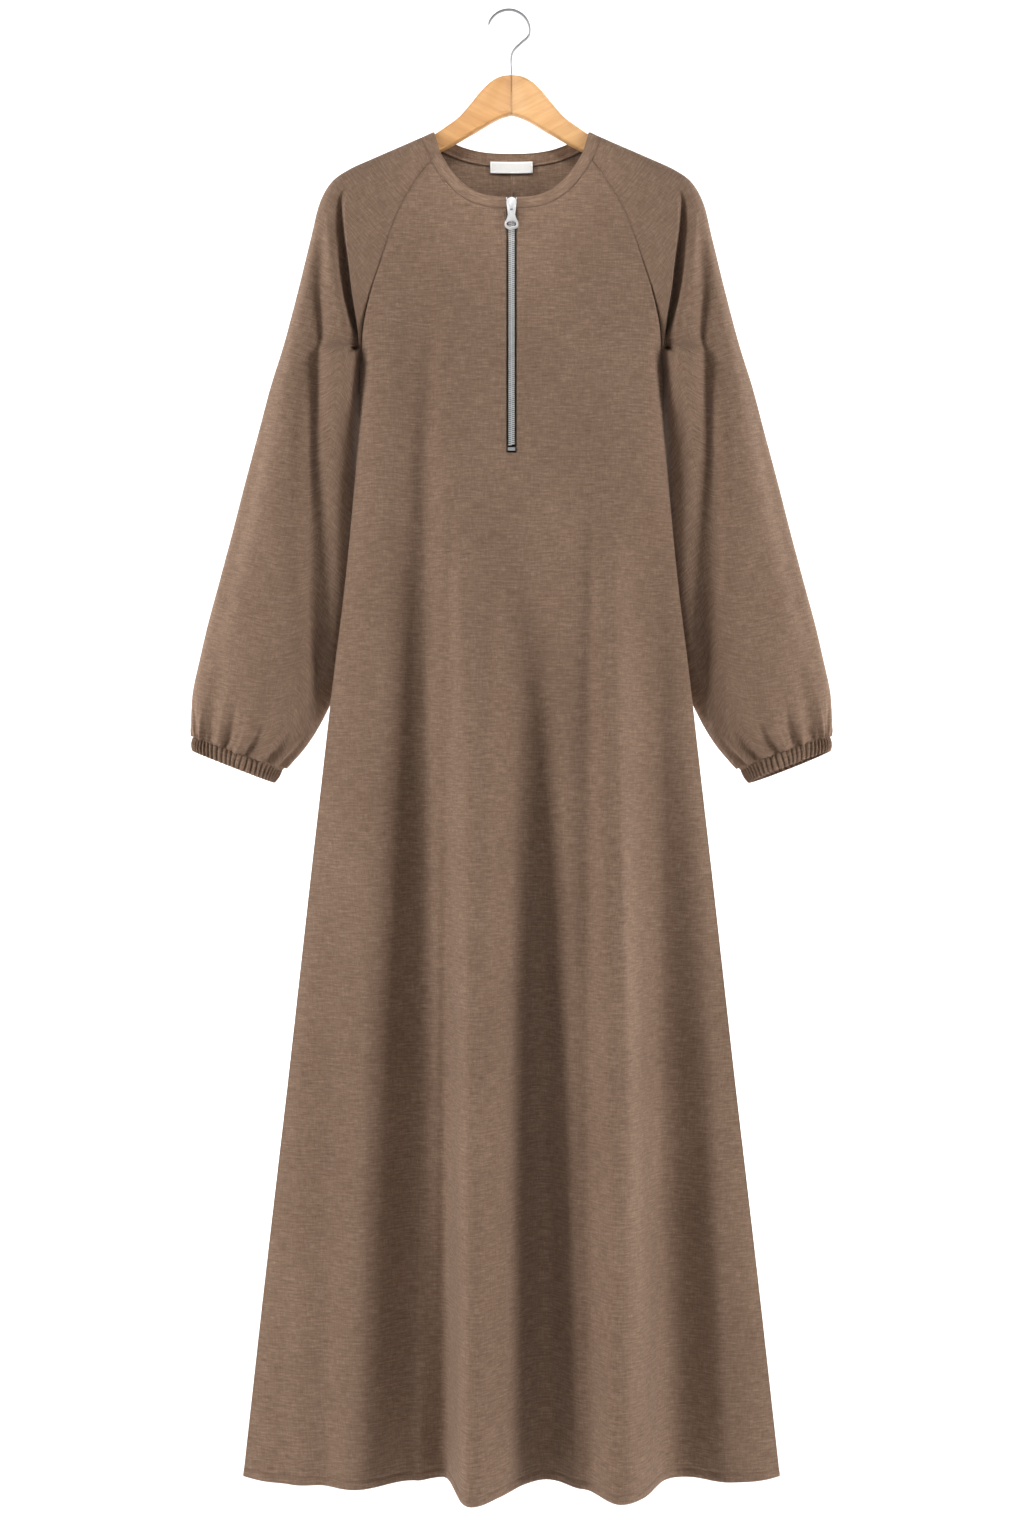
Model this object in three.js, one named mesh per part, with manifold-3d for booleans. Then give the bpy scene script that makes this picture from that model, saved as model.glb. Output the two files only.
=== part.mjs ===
// A long abaya with raglan sleeves, hanging on a wooden hanger.
// Millimetres, +Z up. The front faces -Y, and +X is to the right in the front view.
// The origin is the inside top of the hanger's hook, where a rod carries it.
// Heights are given as "down", the distance below that point.
import * as THREE from "three";
import { mergeVertices } from "three/addons/utils/BufferGeometryUtils.js";
import Module from "manifold-3d";

const wasm = await Module();
wasm.setup();

// Cloth
const WALL = 1.8; // one layer of cloth with its seam allowances
const BAND_WALL = 2; // the faced neck edge
const SEAM_GAP = 0.3; // between two pieces that are sewn together
const SIDE_MITRE = 3.2; // how far the side edge is cut back on the inside
const NECK_CURVE = 2.7; // power of the neckline's curve, from its middle to the raglan seam
const BAND_GAP_SHARE = 0.035; // the band ends this share of its depth above the panel

// Zip
const SLIT_HALF = 6;
const SLIT_END = 467.7;
const ZIP_TOP = 200.8;
const CHAIN_HALF = 3.8;
const CHAIN_TOP = 219;
const CHAIN_END = 462;
const CHAIN_FRONT = 0.3; // how far the chain stands in front of the cloth's face
const CHAIN_THICK = 2.6;
const TAPE_OUTER = 16;
const TAPE_THICK = 0.9;
const TAPE_BELOW = 12; // the tape runs on this far below the slit
const TOP_STOP = { inner: 4.5, outer: 5.7, high: 2.2 };
const END_STOP_HIGH = 3.4;
const ZIP_STEP = 40; // the zip's long bars bend this often

// Hanger
const WOOD_THICK = 11;
const WOOD_EDGE = 2.5;
const WIRE_RADIUS = 1.5;
const HOOK_RADIUS = 22; // to the middle of the wire
const HOOK_CENTRE_X = -3;
const STEM_END = 84;
const STEM_CLEARANCE = 0.3;
const BORE_ABOVE = 5; // the bore's cutter stands this far above the wood
const JOINT_BELOW = 10; // and the joint's cutter this far below it
const HOOK_BENDS = [
  { x: 0, down: STEM_END },
  { x: 0, down: 62 },
  { x: 0, down: 47 },
  { x: 3.4, down: 39.8 },
  { x: 10, down: 33.2 },
];
const HOOK_ARC = { from: -12, to: 165, steps: 12 }; // degrees, from +X up and over
const HOOK_SIDES = 8;
const HOOK_STEPS = 36;

// Raglan seams from the neck edge to the underarm: where they run across (out), down and in depth.
// middle is how far down the row that starts there is at the middle of the panel.
const RAGLAN_FRONT = [
  { out: 74.7, down: 150.4, depth: 12, middle: 200.1 },
  { out: 84.6, down: 160.1, depth: 14, middle: 212.3 },
  { out: 96.4, down: 176.4, depth: 18, middle: 228 },
  { out: 108.8, down: 196.9, depth: 21, middle: 246 },
  { out: 121.2, down: 221.4, depth: 23, middle: 266 },
  { out: 130.5, down: 247.6, depth: 24, middle: 288 },
  { out: 137.7, down: 269.5, depth: 24, middle: 307 },
  { out: 147.2, down: 298.1, depth: 22, middle: 331 },
  { out: 155, down: 331, depth: 14, middle: 357 },
  { out: 158.4, down: 367, depth: 0, middle: 384 },
];
const RAGLAN_BACK = [
  { out: 67, down: 131.6, depth: 13, middle: 144.1 },
  { out: 74.5, down: 140.5, depth: 15, middle: 156 },
  { out: 88, down: 158, depth: 18, middle: 176 },
  { out: 102, down: 181, depth: 21, middle: 200 },
  { out: 116, down: 209, depth: 23, middle: 228 },
  { out: 127, down: 238, depth: 24, middle: 257 },
  { out: 136, down: 265, depth: 24, middle: 284 },
  { out: 146.5, down: 296.5, depth: 22, middle: 315 },
  { out: 155, down: 331, depth: 14, middle: 349 },
  { out: 158.4, down: 367, depth: 0, middle: 384 },
];

// Body sections from the neck to the hem: half width at the side seam, depth of the front and back
// at the middle, and the power that says how square the section is (2 is a plain lens).
const BODY = [
  { down: 140, half: 158.4, front: 22, back: 19, square: 3 },
  { down: 200, half: 158.4, front: 22, back: 22, square: 3 },
  { down: 367, half: 158.4, front: 27, back: 27, square: 3 },
  { down: 424, half: 160, front: 30, back: 30, square: 3 },
  { down: 513, half: 166.4, front: 34, back: 33, square: 3 },
  { down: 592, half: 173.8, front: 36, back: 35, square: 3.2 },
  { down: 676, half: 184.3, front: 37, back: 37, square: 3.5 },
  { down: 776, half: 195.8, front: 37, back: 38, square: 4 },
  { down: 933, half: 213.7, front: 35, back: 38, square: 4.5 },
  { down: 1122, half: 234.7, front: 32, back: 37, square: 5 },
  { down: 1311, half: 256.7, front: 29, back: 35, square: 6 },
  { down: 1500, half: 277.7, front: 28, back: 34, square: 6 },
  { down: 1543, half: 282.4, front: 28, back: 34, square: 6 },
];

// Rows of the front and back below the underarm: how far down they are at the side and the middle.
const SKIRT_ROWS = [
  { side: 415, middle: 424 },
  { side: 463, middle: SLIT_END },
  { side: 529, middle: 531 },
  { side: 610, middle: 610 },
  { side: 700, middle: 700 },
  { side: 800, middle: 800 },
  { side: 905, middle: 905 },
  { side: 1015, middle: 1015 },
  { side: 1125, middle: 1125 },
  { side: 1235, middle: 1235 },
  { side: 1345, middle: 1345 },
  { side: 1445, middle: 1447 },
  { side: 1538, middle: 1543 },
];
const HEM_DOWN = 1543;
const HEM_CURVE = 6;

// Hanging folds. x is the middle of the fold, start is how far down it begins, size is how far it
// stands out (or in) at the hem, left and right are its half widths.
const FRONT_FOLDS = [
  { x: -186, start: 700, size: 10, left: 50, right: 40 },
  { x: -103, start: 215, size: -29, left: 52, right: 30 },
  { x: -39, start: 420, size: 46, left: 36, right: 52 },
  { x: 42, start: 440, size: -15, left: 42, right: 36 },
  { x: 111, start: 240, size: 48, left: 36, right: 50 },
  { x: 176, start: 420, size: -6, left: 30, right: 40 },
  { x: 232, start: 900, size: 6, left: 40, right: 35 },
];
const BACK_FOLDS = [
  { x: -205, start: 650, size: 8, left: 45, right: 40 },
  { x: -128, start: 300, size: 42, left: 48, right: 40 },
  { x: -62, start: 380, size: -18, left: 36, right: 40 },
  { x: 22, start: 330, size: 38, left: 46, right: 44 },
  { x: 92, start: 300, size: -22, left: 40, right: 38 },
  { x: 158, start: 260, size: 40, left: 42, right: 46 },
  { x: 226, start: 800, size: -8, left: 34, right: 36 },
];
const FOLD_GROWTH = 1.15; // power of a fold's growth from its start to the hem
const FOLD_EDGE = 8; // power of a fold's fading towards the side seam

// Shares of the half width at which a panel's columns run, closest where the hanging folds are.
const PANEL_COLUMNS = [0, 0.08, 0.15, 0.21, 0.26, 0.32, 0.38, 0.44, 0.52, 0.62, 0.74, 0.87, 1];

// Sleeve stations from the neck edge to the cuff. out and down place the outer line: the shoulder,
// then the sleeve's outer edge. depth is half the section's depth, and mid and seamY are its
// middle in Y at the outer line and at the underarm seam.
// fold is the share across where the armpit fold lies, and valley is how deep that fold is.
const SLEEVE_TOP = [
  { out: 81.4, down: 126.6, depth: 12, mid: 0, fold: 0.5, valley: 0 },
  { out: 95, down: 133, depth: 14, mid: 0, fold: 0.5, valley: 0 },
  { out: 123.4, down: 145.5, depth: 18, mid: 0, fold: 0.55, valley: 0 },
  { out: 147.5, down: 156, depth: 21, mid: 0, fold: 0.6, valley: 0 },
  { out: 170.6, down: 166.5, depth: 23, mid: 0, fold: 0.66, valley: 0 },
  { out: 189, down: 179, depth: 24, mid: 2, fold: 0.7, valley: 4 },
  { out: 202, down: 201, depth: 25, mid: 4, fold: 0.55, valley: 13 },
  { out: 211, down: 236, depth: 26, mid: 6, fold: 0.33, valley: 16 },
  { out: 226, down: 296, depth: 28, mid: 9, fold: 0.12, valley: 13 },
];
const SLEEVE_TUBE = [
  { seam: 158.6, seamDown: 367, seamY: 0, out: 240, down: 350, mid: 12, depth: 31, gather: 0, lean: 0 },
  { seam: 160.4, seamDown: 408, seamY: 12, out: 254, down: 395, mid: 16, depth: 37, gather: 0, lean: 0 },
  { seam: 163, seamDown: 453, seamY: 20, out: 265.5, down: 436, mid: 20, depth: 41, gather: 0, lean: 0 },
  { seam: 165.8, seamDown: 510, seamY: 24, out: 280, down: 488, mid: 23, depth: 43, gather: 0, lean: 0 },
  { seam: 169.5, seamDown: 567, seamY: 25, out: 294.4, down: 542, mid: 25, depth: 43, gather: 0, lean: 0 },
  { seam: 174.3, seamDown: 622, seamY: 25, out: 308.7, down: 593, mid: 25, depth: 43, gather: 0, lean: 0 },
  { seam: 180.4, seamDown: 671, seamY: 25, out: 321.5, down: 639, mid: 25, depth: 43, gather: 0, lean: 0 },
  { seam: 188.6, seamDown: 711, seamY: 25, out: 331.1, down: 680, mid: 25, depth: 43, gather: 0, lean: 0 },
  { seam: 200.9, seamDown: 739, seamY: 25, out: 338, down: 712, mid: 25, depth: 41, gather: 0.9, lean: 0.25 },
  { seam: 214.2, seamDown: 762, seamY: 25, out: 340, down: 737, mid: 25, depth: 35, gather: 2, lean: 0.5 },
  { seam: 228.5, seamDown: 780.6, seamY: 25, out: 339.6, down: 752, mid: 25, depth: 28, gather: 3, lean: 0.8 },
  { seam: 242.8, seamDown: 794.4, seamY: 25, out: 338, down: 760.4, mid: 25, depth: 21, gather: 1.8, lean: 1 },
];
const HALF_COLUMNS = 12; // columns of a sleeve from its seam to its outer line
const FOLD_COLUMN = 3; // the column on the armpit fold's crest
const VALLEY_STEP = 0.07; // share across from that crest to the fold's bottom
const VALLEY_SHARES = [0, 0, 0, 0, 1, 0.72, 0.36, 0.1]; // the fold's depth from column to column
const FINE_FROM = 16; // sleeve row from which the columns are twice as close, for the gathers
const GATHERS = 16;

// Cuff rows: the ring's inner and outer points, its half depth, and how far its ribs stand out.
const CUFF_ROWS = [
  { inner: 243.9, innerDown: 795.3, out: 337.4, down: 761.2, depth: 20, rib: 0.9 },
  { inner: 248.6, innerDown: 802.8, out: 338.7, down: 769, depth: 20.3, rib: 1.5 },
  { inner: 252.8, innerDown: 810, out: 338.4, down: 776.6, depth: 19.4, rib: 0.8 },
];
const CUFF_MID = 25;
const CUFF_WALL = 2;
const CUFF_RIBS = 56;
const RIGHT_CUFF_TILT = 3; // the right cuff's back edge hangs lower, so that its opening shows

const LABEL = { half: 22.5, top: 153.4, bottom: 165.5, thick: 0.6 };

function material(color, roughness, metalness) {
  return new THREE.MeshStandardMaterial({ color, roughness, metalness });
}
const MATERIALS = {
  cloth: () => material(0x7b6353, 0.95, 0),
  label: () => material(0xe9e6df, 0.85, 0),
  tape: () => material(0x4a3d35, 0.9, 0),
  metal: () => material(0xc4c5c7, 0.35, 1),
  wood: () => material(0xdcab70, 0.5, 0),
  woodDark: () => material(0xd29c5c, 0.5, 0),
};

// A value of a table's column, read smoothly between its rows.
function read(table, key, value, column) {
  const last = table.length - 1;
  if (value <= table[0][key]) return table[0][column];
  if (value >= table[last][key]) return table[last][column];
  const i = table.findIndex((row) => row[key] > value) - 1;
  const [a, b] = [table[i], table[i + 1]];
  const t = (value - a[key]) / (b[key] - a[key]);
  const before = table[Math.max(i - 1, 0)];
  const after = table[Math.min(i + 2, last)];
  const span = b[key] - a[key];
  const slopeA = ((b[column] - before[column]) / (b[key] - before[key])) * span;
  const slopeB = ((after[column] - a[column]) / (after[key] - a[key])) * span;
  return (
    (2 * t ** 3 - 3 * t ** 2 + 1) * a[column] +
    (t ** 3 - 2 * t ** 2 + t) * slopeA +
    (3 * t ** 2 - 2 * t ** 3) * b[column] +
    (t ** 3 - t ** 2) * slopeB
  );
}

function lerp(a, b, t) {
  return a + (b - a) * t;
}

// Collects triangles, mirrored to the left side where asked, and makes one mesh of them.
class Faces {
  constructor(mirrored = false) {
    this.mirrored = mirrored;
    this.values = [];
  }
  triangle(a, b, c) {
    const side = this.mirrored ? -1 : 1;
    const corners = this.mirrored ? [a, c, b] : [a, b, c];
    for (const p of corners) this.values.push(side * p.x, p.y, p.z);
  }
  quad(a, b, c, d) {
    this.triangle(a, b, c);
    this.triangle(a, c, d);
  }
  // The strip between two rows; the lower row may have twice as many columns.
  cell(upper, lower, j, facing) {
    const ratio = (lower.length - 1) / (upper.length - 1);
    const corners = [upper[j], upper[j + 1]];
    const below = lower.slice(j * ratio, (j + 1) * ratio + 1);
    const turn = (a, b, c) => (facing > 0 ? this.triangle(a, b, c) : this.triangle(a, c, b));
    turn(corners[0], below[0], below[1]);
    turn(corners[0], below[1], corners[1]);
    if (ratio === 2) turn(corners[1], below[1], below[2]);
  }
  geometry() {
    const made = new THREE.BufferGeometry();
    made.setAttribute("position", new THREE.Float32BufferAttribute(this.values, 3));
    const merged = mergeVertices(made, 1e-3);
    merged.computeVertexNormals();
    return merged;
  }
}

// A cloth wall from a grid of outer and inner points. Rows run down, and columns run so that the
// outer side faces out. Cells that keep() refuses are openings. Rows from closedFrom on are rings.
function wallFaces(outer, inner, { mirrored = false, closedFrom = Infinity, keep = () => true } = {}) {
  const faces = new Faces(mirrored);
  const rows = outer.length - 1;
  const present = (i, j) => {
    if (i < 0 || i >= rows) return false;
    const columns = outer[i].length - 1;
    if (i >= closedFrom && (j < 0 || j >= columns)) return true;
    return j >= 0 && j < columns && keep(i, j);
  };
  for (let i = 0; i < rows; i++) {
    const columns = outer[i].length - 1;
    const ratio = (outer[i + 1].length - 1) / columns;
    for (let j = 0; j < columns; j++) {
      if (!present(i, j)) continue;
      faces.cell(outer[i], outer[i + 1], j, 1);
      faces.cell(inner[i], inner[i + 1], j, -1);
      if (!present(i, j - 1))
        faces.quad(outer[i][j], inner[i][j], inner[i + 1][j * ratio], outer[i + 1][j * ratio]);
      if (!present(i, j + 1)) {
        const [k, m] = [j + 1, (j + 1) * ratio];
        faces.quad(outer[i][k], outer[i + 1][m], inner[i + 1][m], inner[i][k]);
      }
      if (!present(i - 1, j))
        faces.quad(outer[i][j], outer[i][j + 1], inner[i][j + 1], inner[i][j]);
      if (!present(i + 1, j))
        for (let k = j * ratio; k < (j + 1) * ratio; k++)
          faces.quad(outer[i + 1][k], inner[i + 1][k], inner[i + 1][k + 1], outer[i + 1][k + 1]);
    }
  }
  return faces.geometry();
}

// The outward normal at each point of a grid.
function gridNormals(grid, closedFrom = Infinity) {
  return grid.map((row, i) =>
    row.map((point, j) => {
      const last = row.length - 1;
      const ring = i >= closedFrom;
      const next = ring && j === last ? row[1] : row[Math.min(j + 1, last)];
      const previous = ring && j === 0 ? row[last - 1] : row[Math.max(j - 1, 0)];
      const above = i === closedFrom ? point : grid[Math.max(i - 1, 0)][j];
      const below = grid[Math.min(i + 1, grid.length - 1)][j];
      const across = next.clone().sub(previous);
      const downwards = below.clone().sub(above);
      return downwards.cross(across).normalize();
    }),
  );
}

function moved(point, normal, distance) {
  return point.clone().addScaledVector(normal, distance);
}

// How far a hanging fold table moves the cloth out at a place.
function foldDepth(folds, x, down) {
  const half = read(BODY, "down", down, "half");
  let sum = 0;
  for (const fold of folds) {
    if (down <= fold.start) continue;
    const grown = ((down - fold.start) / (HEM_DOWN - fold.start)) ** FOLD_GROWTH;
    const t = (x - fold.x) / (x < fold.x ? fold.left : fold.right);
    if (Math.abs(t) < 1) sum += fold.size * grown * (1 - t * t) ** 2;
  }
  return sum * Math.max(0, 1 - Math.abs(x / half) ** FOLD_EDGE);
}

// The rows of a panel: the raglan rows, then the skirt rows.
function panelRows(raglan) {
  const skirt = SKIRT_ROWS.map(({ side, middle }, i) => ({
    out: read(BODY, "down", side, "half"),
    down: side,
    depth: 0,
    middle,
    curve: i === SKIRT_ROWS.length - 1 ? HEM_CURVE : NECK_CURVE,
  }));
  return [...raglan.map((row) => ({ ...row, curve: NECK_CURVE })), ...skirt];
}

// A point of the front (face -1) or back (face 1) at a share of the row's half width.
function panelPoint(row, share, side, start, face) {
  const x = side * lerp(start, row.out, share);
  const down = lerp(row.middle, row.down, share ** row.curve);
  const column = face < 0 ? "front" : "back";
  const middleDepth = read(BODY, "down", row.middle, column);
  const square = read(BODY, "down", down, "square");
  const folds = foldDepth(face < 0 ? FRONT_FOLDS : BACK_FOLDS, x, down);
  const depth = lerp(row.depth, middleDepth, 1 - share ** square) + folds;
  return new THREE.Vector3(x, face * depth, -down);
}

// Moves a panel's side column off its seam, and cuts its inner side to meet the next piece.
function seamEdges(outer, inner, rows, side, face, column) {
  rows.forEach((row, i) => {
    const p = outer[i][column];
    p.x -= (side * SEAM_GAP) / 2;
    if (row.depth === 0) {
      p.y = (face * SEAM_GAP) / 2;
      inner[i][column].set(p.x - side * SIDE_MITRE, p.y, p.z);
    } else inner[i][column].set(p.x, p.y - face * WALL, p.z);
  });
}

const frontRows = panelRows(RAGLAN_FRONT);
const backRows = panelRows(RAGLAN_BACK);
const leftToRight = [
  ...PANEL_COLUMNS.map((share) => ({ share, side: -1 })).reverse(),
  ...PANEL_COLUMNS.map((share) => ({ share, side: 1 })),
];
const frontGrid = frontRows.map((row) =>
  leftToRight.map(({ share, side }) => panelPoint(row, share, side, SLIT_HALF, -1)),
);
const frontNormals = gridNormals(frontGrid);

function frontPanel() {
  const inner = frontGrid.map((row, i) => row.map((p, j) => moved(p, frontNormals[i][j], -WALL)));
  const outer = frontGrid.map((row) => row.map((p) => p.clone()));
  seamEdges(outer, inner, frontRows, -1, -1, 0);
  seamEdges(outer, inner, frontRows, 1, -1, leftToRight.length - 1);
  const middle = PANEL_COLUMNS.length - 1;
  const slitRows = frontRows.findIndex((row) => row.middle === SLIT_END);
  const keep = (i, j) => i >= 1 && !(j === middle && i < slitRows);
  return wallFaces(outer, inner, { keep });
}

// One half of the back, from the side seam to the centre-back seam.
function backGrid(side) {
  return backRows.map((row) =>
    [...PANEL_COLUMNS].reverse().map((share) => panelPoint(row, share, side, 0, 1)),
  );
}

function backPanel(side) {
  const outer = backGrid(side);
  const normals = gridNormals(outer);
  // The left half's columns run the other way, which turns its normals round.
  const inner = outer.map((row, i) => row.map((p, j) => moved(p, normals[i][j], -WALL * side)));
  seamEdges(outer, inner, backRows, side, 1, 0);
  const last = PANEL_COLUMNS.length - 1;
  outer.forEach((row, i) => {
    row[last].x = (side * SEAM_GAP) / 2;
    inner[i][last].set(row[last].x, row[last].y - WALL, row[last].z);
  });
  if (side > 0) return wallFaces(outer, inner, { keep: (i) => i >= 1 });
  const reversed = (grid) => grid.map((row) => [...row].reverse());
  return wallFaces(reversed(outer), reversed(inner), { keep: (i) => i >= 1 });
}

// Share across a sleeve section, and share of its depth, at a column counted from the seam.
function openSection(column, fold) {
  const bottom = fold + VALLEY_STEP;
  let across;
  if (column <= FOLD_COLUMN) across = (fold * column) / FOLD_COLUMN;
  else if (column <= FOLD_COLUMN + 1) across = fold + VALLEY_STEP * (column - FOLD_COLUMN);
  else {
    const left = (column - FOLD_COLUMN - 1) / (HALF_COLUMNS - FOLD_COLUMN - 1);
    across = lerp(bottom, 1, Math.sin((left * Math.PI) / 2));
  }
  return { across, deep: Math.sqrt(Math.max(0, 1 - across ** 4)) };
}

function tubeSection(column) {
  const angle = (Math.PI * column) / HALF_COLUMNS;
  return { across: (1 - Math.cos(angle)) / 2, deep: Math.sin(angle) };
}

function valleyAt(column) {
  const low = Math.floor(column);
  const value = (i) => VALLEY_SHARES[i] ?? 0;
  return lerp(value(low), value(low + 1), column - low);
}

// The right sleeve's stations, each with its seam points in front and behind.
function sleeveStations() {
  const top = SLEEVE_TOP.map((row, i) => ({
    ...row,
    front: RAGLAN_FRONT[i],
    back: RAGLAN_BACK[i],
    seamY: 0,
    gather: 0,
    closed: false,
  }));
  const tube = SLEEVE_TUBE.map((row) => {
    const seam = { out: row.seam, down: row.seamDown, depth: 0 };
    return { ...row, front: seam, back: seam, closed: true, valley: 0 };
  });
  return [...top, ...tube];
}
const STATIONS = sleeveStations();
const TUBE_FROM = SLEEVE_TOP.length;

// A point of the sleeve. turn goes from 0 at the front seam, over 1 at the outer line, to 2.
function sleevePoint(station, turn, tilt) {
  const face = turn <= 1 ? -1 : 1;
  const column = (turn <= 1 ? turn : 2 - turn) * HALF_COLUMNS;
  const seam = face < 0 ? station.front : station.back;
  const section = station.closed ? tubeSection(column) : openSection(column, station.fold);
  const x = lerp(seam.out, station.out, section.across);
  const down = lerp(seam.down, station.down, section.across);
  let y = face * station.depth * section.deep;
  if (!station.closed) {
    y += face * (seam.depth - station.depth) * (1 - section.across) ** 3;
    y -= face * station.valley * valleyAt(column);
  }
  const lean = station.closed ? (tilt * station.lean * y) / station.depth : 0;
  const middle = lerp(station.seamY, station.mid, section.across);
  return new THREE.Vector3(x, y + middle, -(down + lean));
}

// Gathers above the cuff: uneven soft waves round the sleeve.
function gatherWave(turn) {
  const phase = turn * Math.PI * GATHERS + 0.9 * Math.sin(turn * Math.PI * 3 + 0.6);
  const size = 1 + 0.35 * Math.sin(turn * 17 + 1) + 0.2 * Math.sin(turn * 41);
  return size * (0.5 - 0.5 * Math.cos(phase));
}

function sleeveGrid(tilt) {
  const columns = 4 * HALF_COLUMNS;
  return STATIONS.map((station) =>
    Array.from({ length: columns + 1 }, (_, j) => sleevePoint(station, (2 * j) / columns, tilt)),
  );
}

function sleeve(mirrored, tilt) {
  const grid = sleeveGrid(tilt);
  const normals = gridNormals(grid, TUBE_FROM);
  const last = grid[0].length - 1;
  const outer = [];
  const inner = [];
  grid.forEach((row, i) => {
    const wave = (j) => STATIONS[i].gather * gatherWave((2 * (j % last)) / last);
    outer.push(row.map((p, j) => moved(p, normals[i][j], wave(j))));
    inner.push(row.map((p, j) => moved(p, normals[i][j], wave(j) - WALL)));
    if (i >= TUBE_FROM) {
      outer[i][last].copy(outer[i][0]);
      inner[i][last].copy(inner[i][0]);
      return;
    }
    for (const [j, face] of [[0, -1], [last, 1]]) {
      outer[i][j].x += SEAM_GAP / 2;
      inner[i][j].set(outer[i][j].x, outer[i][j].y - face * WALL, outer[i][j].z);
    }
  });
  const everySecond = (row) => row.filter((_, j) => j % 2 === 0);
  const thin = (rows) => rows.map((row, i) => (i < FINE_FROM ? everySecond(row) : row));
  return wallFaces(thin(outer), thin(inner), {
    mirrored,
    closedFrom: TUBE_FROM,
    keep: (i) => i >= 1,
  });
}

// The elastic cuff: a short tilted ring with ribs outside and a plain inside.
function cuff(mirrored, tilt) {
  const columns = 2 * CUFF_RIBS;
  const grid = CUFF_ROWS.map((row) =>
    Array.from({ length: columns + 1 }, (_, j) => {
      const angle = (2 * Math.PI * (j % columns)) / columns;
      const across = (1 - Math.cos(angle)) / 2;
      const y = -row.depth * Math.sin(angle);
      const lean = (tilt * y) / row.depth;
      const down = lerp(row.innerDown, row.down, across) + lean;
      return new THREE.Vector3(lerp(row.inner, row.out, across), y + CUFF_MID, -down);
    }),
  );
  const normals = gridNormals(grid, 0);
  const outer = grid.map((row, i) =>
    row.map((p, j) => moved(p, normals[i][j], j % 2 === 0 ? 0 : CUFF_ROWS[i].rib)),
  );
  const inner = grid.map((row, i) => row.map((p, j) => moved(p, normals[i][j], -CUFF_WALL)));
  return wallFaces(outer, inner, { mirrored, closedFrom: 0 });
}

// The neck band runs from the zip over the right shoulder, the back and the left shoulder.
function neckband() {
  const middle = PANEL_COLUMNS.length;
  const sleeveRows = sleeveGrid(0);
  const sleeveNormals = gridNormals(sleeveRows, TUBE_FROM);
  const back = backGrid(1);
  const backNormals = gridNormals(back);
  const right = [];
  const add = (grid, normals, from, to, step = 1) => {
    for (let j = from; j < to; j += step)
      right.push([0, 1].map((i) => ({ p: grid[i][j], n: normals[i][j] })));
  };
  add(frontGrid, frontNormals, middle, 2 * middle - 1);
  add(sleeveRows, sleeveNormals, 0, sleeveRows[0].length, 2);
  add(back, backNormals, 1, middle);
  const centre = right[right.length - 1];
  for (const { n } of centre) n.setX(0).normalize();
  const mirror = (v) => new THREE.Vector3(-v.x, v.y, v.z);
  const left = right
    .slice(0, -1)
    .reverse()
    .map((column) => column.map(({ p, n }) => ({ p: mirror(p), n: mirror(n) })));
  const columns = [...right, ...left];
  const outer = [0, 1].map((i) =>
    columns.map((column) =>
      i === 0 ? column[0].p : column[1].p.clone().lerp(column[0].p, BAND_GAP_SHARE),
    ),
  );
  const inner = outer.map((row, i) => row.map((p, j) => moved(p, columns[j][i].n, -BAND_WALL)));
  return wallFaces(outer, inner);
}

// The label lies on the inside of the back, over the band's lower edge.
function label() {
  const columns = 4;
  const inside = BAND_WALL + SEAM_GAP;
  const face = (down, x, depth) =>
    new THREE.Vector3(x, read(BODY, "down", down, "back") - inside - depth, -down);
  const grid = (depth) =>
    [LABEL.top, LABEL.bottom].map((down) =>
      Array.from({ length: columns + 1 }, (_, j) =>
        face(down, LABEL.half * ((2 * j) / columns - 1), depth),
      ),
    );
  return wallFaces(grid(LABEL.thick), grid(0));
}

// The depth of the front's outer face beside the zip.
function zipFace(down) {
  return -read(BODY, "down", down, "front");
}

// A flat bar that follows the front's face down the slit.
function zipStrip(left, right, top, bottom, front, back) {
  const steps = Math.max(1, Math.round((bottom - top) / ZIP_STEP));
  const row = (offset) => (_, i) => {
    const down = lerp(top, bottom, i / steps);
    const y = zipFace(down) + offset;
    return [left, right].map((x) => new THREE.Vector3(x, y, -down));
  };
  const rows = (offset) => Array.from({ length: steps + 1 }, row(offset));
  return wallFaces(rows(front), rows(back));
}

function solidOf(geometry) {
  const plain = geometry.clone();
  for (const name of ["normal", "uv"]) plain.deleteAttribute(name);
  const merged = mergeVertices(plain, 1e-3);
  return new wasm.Manifold(
    new wasm.Mesh({
      numProp: 3,
      vertProperties: merged.attributes.position.array,
      triVerts: new Uint32Array(merged.index.array),
    }),
  );
}

function geometryOf(solid) {
  const { vertProperties, triVerts, numProp } = solid.getMesh();
  const positions = new Float32Array((vertProperties.length / numProp) * 3);
  for (let i = 0; i < positions.length / 3; i++)
    positions.set(vertProperties.subarray(i * numProp, i * numProp + 3), i * 3);
  const made = new THREE.BufferGeometry();
  made.setAttribute("position", new THREE.BufferAttribute(positions, 3));
  made.setIndex(new THREE.BufferAttribute(triVerts, 1));
  made.computeVertexNormals();
  return made;
}

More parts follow.
